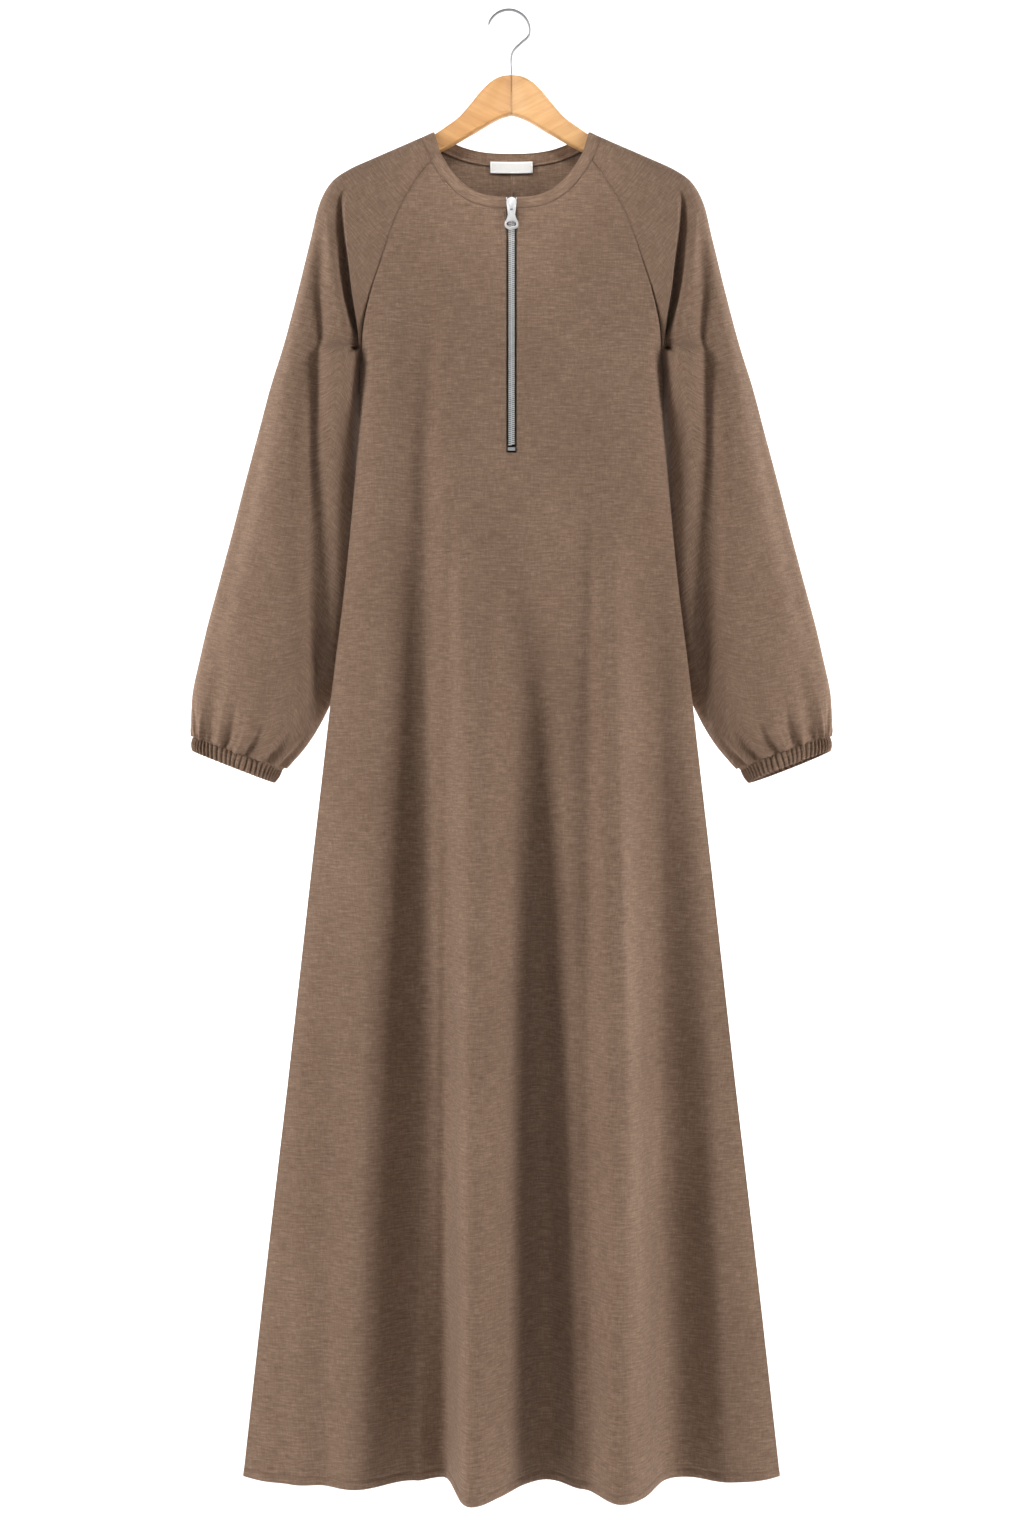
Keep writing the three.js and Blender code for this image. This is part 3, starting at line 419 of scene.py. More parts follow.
# %% [markdown]
# Cloth that hangs from the shoulders falls in long folds that grow towards the hem. Each fold is
# one row: where it runs, how far down it starts, how far it stands out at the hem, and how wide it
# is on each side. growth says how soon it deepens, swell is 1 where it is deepest halfway down, and
# drift is how far it runs sideways in a metre. A narrow side makes a crisp edge. The first seven
# rows are the solid's own folds, and the others sharpen them in the shell.

# %% Hanging folds
FRONT_FOLDS = table("x start size left right growth swell drift", """
    -186 700 10 50 40 1.15 0 0
    -103 215 -29 52 30 1.15 0 0
    -39 420 46 36 52 1.15 0 0
    42 440 -15 42 36 1.15 0 0
    111 240 48 36 50 1.15 0 0
    176 420 -6 30 40 1.15 0 0
    232 900 6 40 35 1.15 0 0
    -88 180 -34 40 26 0.6 1 -12
    -70 480 -42 30 18 0.8 0 0
    -46 600 10 11 34 1.3 0 0
    -40 430 14 22 40 0.6 1 0
    8 462 -44 44 42 0.8 1 26
    26 640 -18 44 38 0.9 0 8
    95 420 12 14 36 0.6 1 0
    128 440 -44 36 58 0.6 0.3 40
    -190 640 -18 34 46 0.8 0 -6
    212 720 -18 60 46 0.9 0 16
    -222 980 -5 24 32 1.2 0 -30
    -158 900 5 26 24 1.1 0 -20
""")
BACK_FOLDS = table("x start size left right growth swell drift", """
    -205 650 8 45 40 1.15 0 0
    -128 300 42 48 40 1.15 0 0
    -62 380 -18 36 40 1.15 0 0
    22 330 38 46 44 1.15 0 0
    92 300 -22 40 38 1.15 0 0
    158 260 40 42 46 1.15 0 0
    226 800 -8 34 36 1.15 0 0
    -64 340 -20 26 30 0.6 1 0
    -108 600 12 30 12 1.3 0 0
    94 320 -22 30 24 0.6 1 0
    40 700 9 30 13 1.4 0 0
    140 560 8 12 30 1.2 0 0
    -176 900 -8 24 26 1.1 0 -20
""")
FOLD_EDGE = 8
SOFT_START = 0.12  # share of a fold's length in which a swelling fold begins


def fold_depth(folds, x, down):
    half = read(BODY, "down", down, "half")
    total = np.zeros_like(x)
    for fold in each_row(folds):
        below = np.clip(down - fold["start"], 0, None)
        ripe = below / (HEM_DOWN - fold["start"])
        grown = ripe ** fold["growth"] * (1 - fold["swell"] * ripe**2)
        if fold["swell"]:
            grown = grown * smooth_step(0, SOFT_START, ripe)
        middle = fold["x"] + fold["drift"] * below / 1000
        reach = np.where(x < middle, fold["left"], fold["right"])
        t = np.clip((x - middle) / reach, -1, 1)
        total += fold["size"] * grown * (1 - t * t) ** 2
    return total * np.clip(1 - np.abs(x / half) ** FOLD_EDGE, 0, None)


print("front folds", len(FRONT_FOLDS["row"]), "back folds", len(BACK_FOLDS["row"]))

# %% [markdown]
# The front and back are surfaces with two numbers: r runs from the neck edge down to the hem, row
# by row of the tables, and share runs from the middle to the side seam.


# %% The body's surface
def with_skirt(raglan):
    made = {name: raglan[name] for name in ("out", "down", "depth", "middle")}
    skirt = {
        "out": read(BODY, "down", SKIRT_ROWS["side"], "half"),
        "down": SKIRT_ROWS["side"],
        "depth": np.zeros(len(SKIRT_ROWS["side"])),
        "middle": SKIRT_ROWS["middle"],
    }
    made = {name: np.concatenate([made[name], skirt[name]]) for name in made}
    made["curve"] = np.full(len(made["out"]), NECK_CURVE)
    made["curve"][-1] = HEM_CURVE
    made["row"] = np.arange(len(made["out"]), dtype=float)
    return made


FRONT_ROWS = with_skirt(RAGLAN_FRONT)
BACK_ROWS = with_skirt(RAGLAN_BACK)
UNDERARM_ROW = len(RAGLAN_FRONT["row"]) - 1
LAST_ROW = len(FRONT_ROWS["row"]) - 1
SLIT_END_ROW = UNDERARM_ROW + 2


def body_points(r, share, side, start, face):
    rows = FRONT_ROWS if face < 0 else BACK_ROWS
    value = read_all(rows, r)
    x = side * lerp(start, value["out"], share)
    down = lerp(value["middle"], value["down"], share ** value["curve"])
    middle_depth = read(BODY, "down", value["middle"], "front" if face < 0 else "back")
    square = read(BODY, "down", down, "square")
    depth = lerp(value["depth"], middle_depth, 1 - share**square)
    depth = depth + fold_depth(FRONT_FOLDS if face < 0 else BACK_FOLDS, x, down)
    return np.stack([x, face * depth, -down], axis=-1)


print("rows from the neck to the hem", LAST_ROW + 1)

# %% [markdown]
# A sleeve is a surface too: r runs from the neck edge to the cuff, and turn runs from 0 at the
# front seam, over 1 at the sleeve's outer line, to 2 at the back seam. Above the underarm it is
# open towards the body and folds over in the armpit. Below it is a tube behind the body's side.

# %% The sleeve's surface
HALF_COLUMNS = 12
FOLD_COLUMN = 3
VALLEY_STEP = 0.07
VALLEY_STEP_END = 0.015  # the fold closes up where it meets the body's edge
VALLEY_CLOSING = (1.6, 0.3)  # rows above the underarm between which it does
VALLEY = table("column share", """
    0 0
    2.85 0
    3.02 0.03
    3.35 0.62
    4 1
    4.4 0.72
    5 0.28
    6 0.06
    7 0
    12 0
""")
UNDERARM_TUCK = 3.5  # the sleeve's inner side lies this far in behind the body's edge
TUCK_FROM, TUCK_FULL = 0.9, 0.8  # rows above and below the underarm where it starts and is full
INNER_HOLLOW = 0.95  # share by which the front is flattened beside the body
HOLLOW_WIDTH = 0.045
FOLD_END, VALLEY_END = 0.0, 10  # where and how deep the armpit fold runs out beside the body
CLOSING = 0.4  # rows over which the sleeve closes to a tube
TUBE_FROM = len(SLEEVE_TOP["row"])
TUBE_LAST = TUBE_FROM + len(SLEEVE_TUBE["row"]) - 1


def sleeve_rows():
    top, tube = SLEEVE_TOP, SLEEVE_TUBE
    none = np.zeros(len(top["row"]))
    made = {name: np.concatenate([top[name], tube[name]]) for name in ("out", "down", "depth", "mid")}
    made["fold"] = np.concatenate([top["fold"], np.full(len(tube["row"]), FOLD_END)])
    made["valley"] = np.concatenate([top["valley"], [VALLEY_END], np.zeros(len(tube["row"]) - 1)])
    made["lean"] = np.concatenate([none, tube["lean"]])
    made["seamMid"] = np.concatenate([none, tube["seamMid"]])
    for face, raglan in (("front", RAGLAN_FRONT), ("back", RAGLAN_BACK)):
        made[face + "Out"] = np.concatenate([raglan["out"][: len(none)], tube["seam"]])
        made[face + "Down"] = np.concatenate([raglan["down"][: len(none)], tube["seamDown"]])
        made[face + "Depth"] = np.concatenate([raglan["depth"][: len(none)], np.zeros(len(tube["row"]))])
    made["row"] = np.arange(len(made["out"]), dtype=float)
    return made


SLEEVE_ROWS = sleeve_rows()


def open_across(r, column, fold):
    low, high = (TUBE_FROM - rows for rows in VALLEY_CLOSING)
    step = lerp(VALLEY_STEP, VALLEY_STEP_END, smooth_step(low, high, r))
    towards = fold * column / FOLD_COLUMN
    into = fold + step * (column - FOLD_COLUMN)
    left = np.clip((column - FOLD_COLUMN - 1) / (HALF_COLUMNS - FOLD_COLUMN - 1), 0, 1)
    beyond = lerp(fold + step, 1, np.sin(left * math.pi / 2))
    return np.where(column <= FOLD_COLUMN, towards, np.where(column <= FOLD_COLUMN + 1, into, beyond))


def sleeve_points(r, turn, tilt=0):
    face = np.where(turn <= 1, -1.0, 1.0)
    column = np.where(turn <= 1, turn, 2 - turn) * HALF_COLUMNS
    value = read_all(SLEEVE_ROWS, r)
    pick = {n: np.where(face < 0, value["front" + n], value["back" + n]) for n in ("Out", "Down", "Depth")}
    angle = math.pi * column / HALF_COLUMNS
    sections = []
    for across, deep, tube in (
        (open_across(r, column, value["fold"]), None, False),
        ((1 - np.cos(angle)) / 2, np.sin(angle), True),
    ):
        if deep is None:
            deep = np.sqrt(np.clip(1 - across**4, 0, None))
        hollow = INNER_HOLLOW * bell(across, HOLLOW_WIDTH) * (face < 0) * tube
        hollow = hollow * (1 - smooth_step(TUBE_FROM + 3, TUBE_LAST - 2, r))
        y = face * value["depth"] * deep * (1 - hollow)
        if tube:
            y = y + face * pick["Depth"] * (1 - across) ** 8
        else:
            y = y + face * (pick["Depth"] - value["depth"]) * (1 - across) ** 3
            y = y - face * value["valley"] * read(VALLEY, "column", column, "share")
        lean = tilt * value["lean"] * y / value["depth"] if tube else 0
        x = lerp(pick["Out"], value["out"], across)
        down = lerp(pick["Down"], value["down"], across)
        middle = lerp(value["seamMid"], value["mid"], across)
        sections.append(np.stack([x, y + middle, -(down + lean)], axis=-1))
    closed = smooth_step(TUBE_FROM - CLOSING, TUBE_FROM, r)[..., None]
    made = lerp(sections[0], sections[1], closed)
    inner_share = (1 + np.cos(angle)) / 2
    tucked = smooth_step(TUBE_FROM - TUCK_FROM, TUBE_FROM + TUCK_FULL, r)
    made[..., 0] -= UNDERARM_TUCK * tucked * inner_share**2
    return made


print("sleeve rows", TUBE_LAST + 1)

# %% [markdown]
# Every cloth piece is a grid of points that becomes a mesh. Its UV map holds the distance along
# the cloth in both directions, in metres. A Solidify modifier then gives the sheet its thickness,
# towards the inside, so that the outer face stays where the solid has it.


# %% Cloth mesh helpers
MERGE = 2e-6  # metres within which two points become one


def grid_normals(grid, ring_from=None):
    down = np.gradient(grid, axis=0)
    across = np.gradient(grid, axis=1)
    if ring_from is not None:
        wrapped = (grid[ring_from:, 1] - grid[ring_from:, -2]) / 2
        across[ring_from:, 0] = wrapped
        across[ring_from:, -1] = wrapped
    normals = np.cross(down, across)
    return normals / np.maximum(np.linalg.norm(normals, axis=-1, keepdims=True), 1e-9)


def along_rows(grid):
    steps = np.linalg.norm(np.diff(grid, axis=1), axis=-1)
    return np.concatenate([np.zeros((len(grid), 1)), np.cumsum(steps, axis=1)], axis=1)


def along_columns(grid):
    steps = np.linalg.norm(np.diff(grid, axis=0), axis=-1)
    return np.concatenate([np.zeros((1, grid.shape[1])), np.cumsum(steps, axis=0)], axis=0)


def moved(grid, normals, distance):
    return grid + normals * distance[..., None]


def cloth_object(name, grid, uv, keep=None, mirrored=False, weld=False, thick=CLOTH_THICK, finish=None):
    rows, columns = grid.shape[:2]
    points = grid.reshape(-1, 3) * MM
    if mirrored:
        points = points * np.array([-1, 1, 1])
    i, j = np.meshgrid(np.arange(rows - 1), np.arange(columns - 1), indexing="ij")
    corner = i * columns + j
    quads = np.stack([corner, corner + columns, corner + columns + 1, corner + 1], axis=-1)
    if mirrored:
        quads = quads[..., ::-1]
    chosen = quads[keep] if keep is not None else quads.reshape(-1, 4)
    mesh = bpy.data.meshes.new(name)
    mesh.from_pydata(points.tolist(), [], chosen.tolist())
    layer = mesh.uv_layers.new(name="grain")
    loops = np.empty(len(mesh.loops), dtype=np.int32)
    mesh.loops.foreach_get("vertex_index", loops)
    layer.data.foreach_set("uv", (uv.reshape(-1, 2) * MM)[loops].ravel())
    work = bmesh.new()
    work.from_mesh(mesh)
    loose = [v for v in work.verts if not v.link_faces]
    bmesh.ops.delete(work, geom=loose, context="VERTS")
    if weld:
        bmesh.ops.remove_doubles(work, verts=work.verts, dist=MERGE)
    for face in work.faces:
        face.smooth = True
    work.to_mesh(mesh)
    work.free()
    mesh.materials.append(finish or cloth)
    made = placed(name, mesh)
    if thick:
        wall = made.modifiers.new("cloth thickness", "SOLIDIFY")
        wall.thickness = thick * MM
        wall.offset = -1
    return made


def sheet_area(piece):
    return sum(face.area for face in piece.data.polygons)


def dress(piece, node):
    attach(piece, GARMENT)
    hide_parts(node)
    print(piece.name, "points", len(piece.data.vertices), "area", round(sheet_area(piece), 4), "m2")


print("cloth helpers ready")

# %% [markdown]
# The front is one panel with a slit for the zip. Its edges along the raglan seams and the slit are
# turned under, which shows as a narrow rounded edge. A seam is never a flat butt joint, so the cloth
# dips by a millimetre within a few millimetres of it. Two little puckers run off the slit's end.

# %% Front panel
SEAM_DIP = 1.3
SEAM_DIP_WIDTH = 1.5
DIP_FADE = 1.5  # rows above the underarm over which the dip fades out
SLIT_HALF = 5.2
SLIT_DIP, SLIT_DIP_WIDTH = 1.6, 1.0
HEM_FOLD = 8.8  # height of the hem's stitch line above its edge
HEM_CREASE, HEM_CREASE_WIDTH = 0.5, 1.1
HEM_ROUND, HEM_ROUND_WIDTH = 0.7, 0.9
HEM_THICKER, HEM_SLOPE = 0.35, 2.5  # how far the turned-up hem stands out, and over what height
HEM_ROWS = np.array([0, 0.5, 1.2, 3, 5.5, 7.6, 8.8, 10, 12])  # heights of the lowest rows of points
LAST_ROW_HIGH = 95
RAGLAN_STEP, SKIRT_STEP, HEM_BAND = 0.2, 1 / 13, 0.13  # in rows of the tables
SLIT_FADE = (0.15, 0.1)  # rows above and below the slit's end
SLIT_PUCKERS = table("x down lean size", """
    -9 474 0.22 -1.5
    9 470 -0.3 -1.1
    -3 482 0.05 0.9
""")
SLIT_PUCKER_WIDE, SLIT_PUCKER_LONG = 3.2, 11
PANEL_SHARES = np.concatenate([[0, 0.004, 0.01, 0.018, 0.03], np.linspace(0.045, 0.955, 66),
                               [0.967, 0.977, 0.985, 0.991, 0.996, 1]])


def panel_rows():
    raglan = np.arange(1, UNDERARM_ROW, RAGLAN_STEP)
    skirt = np.arange(UNDERARM_ROW, LAST_ROW - HEM_BAND, SKIRT_STEP)
    return np.concatenate([raglan, skirt, LAST_ROW - HEM_ROWS[::-1] / LAST_ROW_HIGH])


def seam_dip(r, share):
    out = read(FRONT_ROWS, "row", r, "out")
    distance = (1 - share) * out
    above = 1 - smooth_step(UNDERARM_ROW - DIP_FADE, UNDERARM_ROW, r)
    return -SEAM_DIP * bell(distance, SEAM_DIP_WIDTH) * above


def hem_relief(r):
    height = (LAST_ROW - r) * LAST_ROW_HIGH
    crease = -HEM_CREASE * bell(height - HEM_FOLD, HEM_CREASE_WIDTH)
    edge = -HEM_ROUND * bell(height, HEM_ROUND_WIDTH)
    return crease + edge + HEM_THICKER * smooth_step(HEM_FOLD, HEM_FOLD - HEM_SLOPE, height)


def puckers(x, down):
    total = np.zeros_like(x)
    for pucker in each_row(SLIT_PUCKERS):
        below = down - pucker["down"]
        beside = x - pucker["x"] + below * pucker["lean"]
        total += pucker["size"] * bell(beside, SLIT_PUCKER_WIDE) * bell(below, SLIT_PUCKER_LONG)
    return total


def front_grid():
    r_values = panel_rows()
    shares = np.concatenate([-PANEL_SHARES[::-1], PANEL_SHARES])
    side = np.concatenate([-np.ones(len(PANEL_SHARES)), np.ones(len(PANEL_SHARES))])
    r, share = np.meshgrid(r_values, np.abs(shares), indexing="ij")
    side = np.broadcast_to(side, r.shape)
    grid = body_points(r, share, side, SLIT_HALF, -1)
    normals = grid_normals(grid)
    relief = seam_dip(r, share) + hem_relief(r) + puckers(grid[..., 0], -grid[..., 2])
    from_slit = np.abs(grid[..., 0]) - SLIT_HALF
    beside_slit = 1 - smooth_step(SLIT_END_ROW - SLIT_FADE[0], SLIT_END_ROW + SLIT_FADE[1], r)
    relief = relief - SLIT_DIP * bell(from_slit, SLIT_DIP_WIDTH) * beside_slit
    return moved(grid, normals, relief), r


front_points, front_r = front_grid()
middle_column = len(PANEL_SHARES) - 1
front_keep = np.ones((front_points.shape[0] - 1, front_points.shape[1] - 1), dtype=bool)
front_keep[front_r[1:, 0] <= SLIT_END_ROW + 0.01, middle_column] = False


def body_uv(grid, centre):
    flat = grid * np.array([1, 1, 0])
    across = along_rows(flat)
    return np.stack([across - across[:, centre : centre + 1], grid[..., 2]], axis=-1)


def cut_uv(grid, centre):
    across = along_rows(grid)
    across = across - across[:, centre : centre + 1]
    down = along_columns(grid)
    return np.stack([across, -lerp(down, down[:, centre : centre + 1], 0.5)], axis=-1)


front_uv = body_uv(front_points, middle_column)
front_cloth = cloth_object("front_cloth", front_points, front_uv, keep=front_keep)
dress(front_cloth, "front")

# %% [markdown]
# The back is two panels with a seam down the middle. The photograph doesn't show it, so it hangs in
# folds of its own, like the front's. Each half is one grid from the side seam to the middle.


# %% Back panels
MIDDLE_DIP, MIDDLE_DIP_WIDTH = 0.9, 1.4


def back_grid(side):
    r_values = panel_rows()
    shares = PANEL_SHARES[::-1] if side > 0 else PANEL_SHARES
    r, share = np.meshgrid(r_values, shares, indexing="ij")
    grid = body_points(r, share, side, 0, 1)
    normals = grid_normals(grid)
    middle_dip = -MIDDLE_DIP * bell(grid[..., 0], MIDDLE_DIP_WIDTH)
    relief = seam_dip(r, share) + hem_relief(r) + middle_dip
    return moved(grid, normals, relief)


back_points = {side: back_grid(side) for side in (1, -1)}
back_cloth = {}
for side, word in ((1, "right"), (-1, "left")):
    centre = back_points[side].shape[1] - 1 if side > 0 else 0
    uv = body_uv(back_points[side], centre)
    back_cloth[word] = cloth_object("back_cloth_" + word, back_points[side], uv)
    dress(back_cloth[word], "back_" + word)

# %% [markdown]
# Each sleeve is a shell from its neck end to the cuff. The armpit fold has a crisp front edge and a
# deep gap beside it. Long soft folds run down the arm. Above the elastic the cloth is gathered:
# each gather is a row that says where round the sleeve it lies, how wide it is, how far it stands
# out or in, and how far up it reaches. Small puckers fill in between, close to the cuff.

# %% Sleeve folds and gathers
ARM_FOLDS = table("turn slide from to size width", """
    0.60 -0.08 5.8 10.8 5 0.06
    0.70 -0.07 6.6 11.5 -10 0.07
    0.68 -0.058 7.4 18.5 -18 0.09
    0.58 -0.005 9.0 18.5 3.5 0.10
    0.82 -0.004 9.5 19 -3.0 0.09
    0.93 0 7.5 15 1.6 0.07
    0.12 0 10 18 3.0 0.08
    1.22 0.005 9 19 -3.5 0.12
    1.45 0.004 9.5 19 3.2 0.13
    1.66 0.02 9 19 -6.0 0.12
""")
GATHERS = table("turn width size up", """
    0.711 0.055 -8.0 120
    0.582 0.028 -8.0 80
    0.431 0.022 -8.0 66
    0.275 0.034 -9.0 60
    0.880 0.022 -6.0 44
    0.140 0.030 -6.0 44
    0.793 0.018 3.0 46
    0.643 0.022 4.0 60
    0.545 0.012 2.6 34
    0.500 0.018 6.0 78
    0.350 0.026 5.5 52
    0.210 0.024 4.5 40
    1.120 0.040 -3.6 70
    1.235 0.030 2.4 48
    1.330 0.036 -4.2 92
    1.430 0.024 2.4 40
    1.520 0.030 -3.2 50
    1.610 0.028 2.2 60
    1.700 0.032 -3.0 36
    1.800 0.030 1.8 30
    1.890 0.030 -1.8 26
""")
PUCKERS = 34
PUCKER_SIZE, PUCKER_HIGH = 2.4, 11
NEAR_CUFF, NEAR_CUFF_SHARE = 9, 0.55  # a gather is shallower this close to the cuff


def arm_folds(r, turn):
    total = np.zeros_like(turn)
    for fold in each_row(ARM_FOLDS):
        share = (r - fold["from"]) / (fold["to"] - fold["from"])
        along = smooth_step(0, 0.35, share) * (1 - smooth_step(0.65, 1, share))
        beside = turn - fold["turn"] - fold["slide"] * (r - fold["from"])
        total += fold["size"] * along * bell(beside, fold["width"])
    return total


def gathers(turn, up, shift=0.0):
    total = np.zeros_like(turn)
    for gather in each_row(GATHERS):
        length = np.clip(1 - up / gather["up"], 0, 1) ** 1.4
        length = length * lerp(NEAR_CUFF_SHARE, 1, smooth_step(0, NEAR_CUFF, up))
        place = turn - gather["turn"] - shift * math.sin(7 * gather["turn"])
        total += gather["size"] * length * bell(place, gather["width"])
    phase = turn * math.pi * PUCKERS + 1.1 * np.sin(turn * 9.5 + 0.6) + 0.8 * np.sin(turn * 23)
    small = (0.5 - 0.5 * np.cos(phase)) ** 1.5 * (0.7 + 0.3 * np.sin(turn * 31 + 2))
    return total + PUCKER_SIZE * small * bell(up, PUCKER_HIGH)


print("gathers", len(GATHERS["row"]), "arm folds", len(ARM_FOLDS["row"]))

# %% [markdown]
# The two sleeves have the same cut, and the left one is the mirror image of the right. The right
# cuff hangs tilted, so that a little of its opening shows, and its gathers are shifted a little. The
# cloth goes on for a few millimetres inside the cuff, as a seam allowance does.

# %% Sleeves
RIGHT_CUFF_TILT = 3
RIGHT_GATHER_SHIFT = 0.016
UNDERARM_DIP, UNDERARM_DIP_WIDTH = 0.5, 1.2
CUFF_DOWN = np.array([0.35, 0, -0.94])  # the way that the cuff hangs on from the sleeve
CUFF_TUCKS = ((0.6, 1.6), (4.5, 3.2))  # how far on and how far in the two last rows of cloth lie
SLEEVE_TURNS = np.unique(np.concatenate([
    [0, 0.004, 0.009, 0.016, 0.025],
    np.linspace(0.04, 0.22, 14),
    np.linspace(0.225, 0.36, 22),
    np.linspace(0.37, 1.0, 84),
]))
SLEEVE_TURNS = np.concatenate([SLEEVE_TURNS, 2 - SLEEVE_TURNS[-2::-1]])


def sleeve_grid(tilt, shift):
    r_values = np.concatenate([
        np.arange(1, TUBE_FROM - 0.6, 0.17),
        np.arange(TUBE_FROM - 0.5, TUBE_FROM - 0.03, 0.07),
        np.arange(TUBE_FROM, TUBE_FROM + 8, 0.16),
        np.arange(TUBE_FROM + 8, TUBE_LAST, 0.1),
        [TUBE_LAST - 0.03, TUBE_LAST],
    ])
    r, turn = np.meshgrid(r_values, SLEEVE_TURNS, indexing="ij")
    grid = sleeve_points(r, turn, tilt)
    ring_from = int(np.argmax(r_values >= TUBE_FROM))
    normals = grid_normals(grid, ring_from)
    lengths = along_columns(grid)
    up = lengths[-1] - lengths
    to_seam = np.minimum(turn, 2 - turn)
    round_arm = along_rows(grid)
    at_seam = np.minimum(round_arm, round_arm[:, -1:] - round_arm)
    raglan = 1 - smooth_step(TUBE_FROM - DIP_FADE, TUBE_FROM, r)
    relief = arm_folds(r, turn) + gathers(turn, up, shift) * smooth_step(0, 0.05, to_seam)
    relief = relief - SEAM_DIP * bell(at_seam, SEAM_DIP_WIDTH) * raglan
    relief = relief - UNDERARM_DIP * bell(at_seam, UNDERARM_DIP_WIDTH) * (1 - raglan)
    made = moved(grid, normals, relief)
    made[ring_from:, -1] = made[ring_from:, 0]
    outward = grid[-1] - grid[-1].mean(axis=0)
    outward = outward / np.linalg.norm(outward, axis=-1, keepdims=True)
    tucked = [grid[-1] - outward * sink + CUFF_DOWN * step for step, sink in CUFF_TUCKS]
    return np.concatenate([made, np.array(tucked)], axis=0)


sleeve_cloth = {}
for word, tilt, shift, mirrored in (
    ("right", RIGHT_CUFF_TILT, RIGHT_GATHER_SHIFT, False),
    ("left", 0, 0, True),
):
    grid = sleeve_grid(tilt, shift)
    uv = cut_uv(grid, int(np.argmin(np.abs(SLEEVE_TURNS - 1))))
    sleeve_cloth[word] = cloth_object("sleeve_cloth_" + word, grid, uv, mirrored=mirrored, weld=True)
    dress(sleeve_cloth[word], "sleeve_" + word)

# %% [markdown]
# A cuff is a casing over flat elastic, which squeezes the cloth into ribs. The ribs are not quite
# straight or even: they lean, and some are wider than others. A wave round the ring gives them, with
# a phase that wanders, and they fade towards the folded lower edge.

# %% Cuffs
CUFF_MIDDLE = 25
CUFF_RIBS = 54
CUFF_LEDGE = 8  # width of the folded-in edge behind the gathers
CUFF_THICK = 1.4
RIB_MIDDLE = 0.45
TOP_EDGE, TOP_EDGE_ROWS = 0.9, 0.08  # how far the cuff's edges round off
LOW_EDGE, LOW_EDGE_ROWS = 0.8, 0.07
RIB_LEAN = 1.7  # radians that a rib's phase moves from the top edge to the bottom edge
CUFF_COLUMNS = 540
CUFF_LEVELS = np.array([0, 0.03, 0.08, 0.16, 0.3, 0.5, 0.75, 1, 1.25, 1.5, 1.7, 1.84, 1.92, 1.97, 2.0])


def cuff_grid(tilt):
    r, angle = np.meshgrid(CUFF_LEVELS, np.linspace(0, 2 * math.pi, CUFF_COLUMNS + 1), indexing="ij")
    value = read_all(CUFF, r)
    across = (1 - np.cos(angle)) / 2
    y = -value["depth"] * np.sin(angle)
    down = lerp(value["innerDown"], value["down"], across) + tilt * y / value["depth"]
    grid = np.stack([lerp(value["inner"], value["out"], across), y + CUFF_MIDDLE, -down], axis=-1)
    normals = grid_normals(grid, 0)
    wander = 0.9 * np.sin(3 * angle + 0.4) + 0.7 * np.sin(7 * angle + 1.3) + 0.5 * np.sin(11 * angle + r)
    phase = CUFF_RIBS * angle + wander + RIB_LEAN * r + 0.35 * np.sin(2.5 * r + 5 * angle)
    rounded = np.abs(np.sin(phase / 2)) ** 0.8
    size = value["rib"] * (1 + 0.25 * np.sin(5 * angle + 2))
    edges = -TOP_EDGE * bell(r, TOP_EDGE_ROWS) - LOW_EDGE * bell(2 - r, LOW_EDGE_ROWS)
    made = moved(grid, normals, size * (rounded - RIB_MIDDLE) + edges)
    made = np.concatenate([grid[:1] - normals[:1] * CUFF_LEDGE, made], axis=0)
    made[:, -1] = made[:, 0]
    return made


cuff_cloth = {}
for word, tilt, mirrored in (("right", RIGHT_CUFF_TILT, False), ("left", 0, True)):
    grid = cuff_grid(tilt)
    uv = cut_uv(grid, CUFF_COLUMNS // 2)
    cuff_cloth[word] = cloth_object(
        "cuff_cloth_" + word, grid, uv, mirrored=mirrored, weld=True, thick=CUFF_THICK)
    dress(cuff_cloth[word], "cuff_" + word)

# %% [markdown]
# The neck edge is faced: a strip is sewn on, turned inside and stitched down 12 mm from the edge. It
# is made from the top of the front, the sleeves and the back, so it carries on their curves, and the
# four raglan seams cross it. It is open at the zip.

# %% Neck band
BAND_ROWS = np.array([0, 0.03, 0.08, 0.16, 0.3, 0.45, 0.6, 0.75, 0.86, 0.93, 0.98, 1.03, 1.12])
BAND_COLUMNS = (60, 43, 55)  # along the front, the sleeve and the back, on each side
BAND_SEAM_WIDTH = 1.3
BAND_EDGE, BAND_EDGE_ROWS = 0.8, 0.06  # how far the neck edge rounds off
BAND_STEP = 0.9  # how far the band sinks where it ends under the stitching
BAND_SEAMS = np.array([BAND_COLUMNS[0] - 1, BAND_COLUMNS[0] + BAND_COLUMNS[1] - 1])


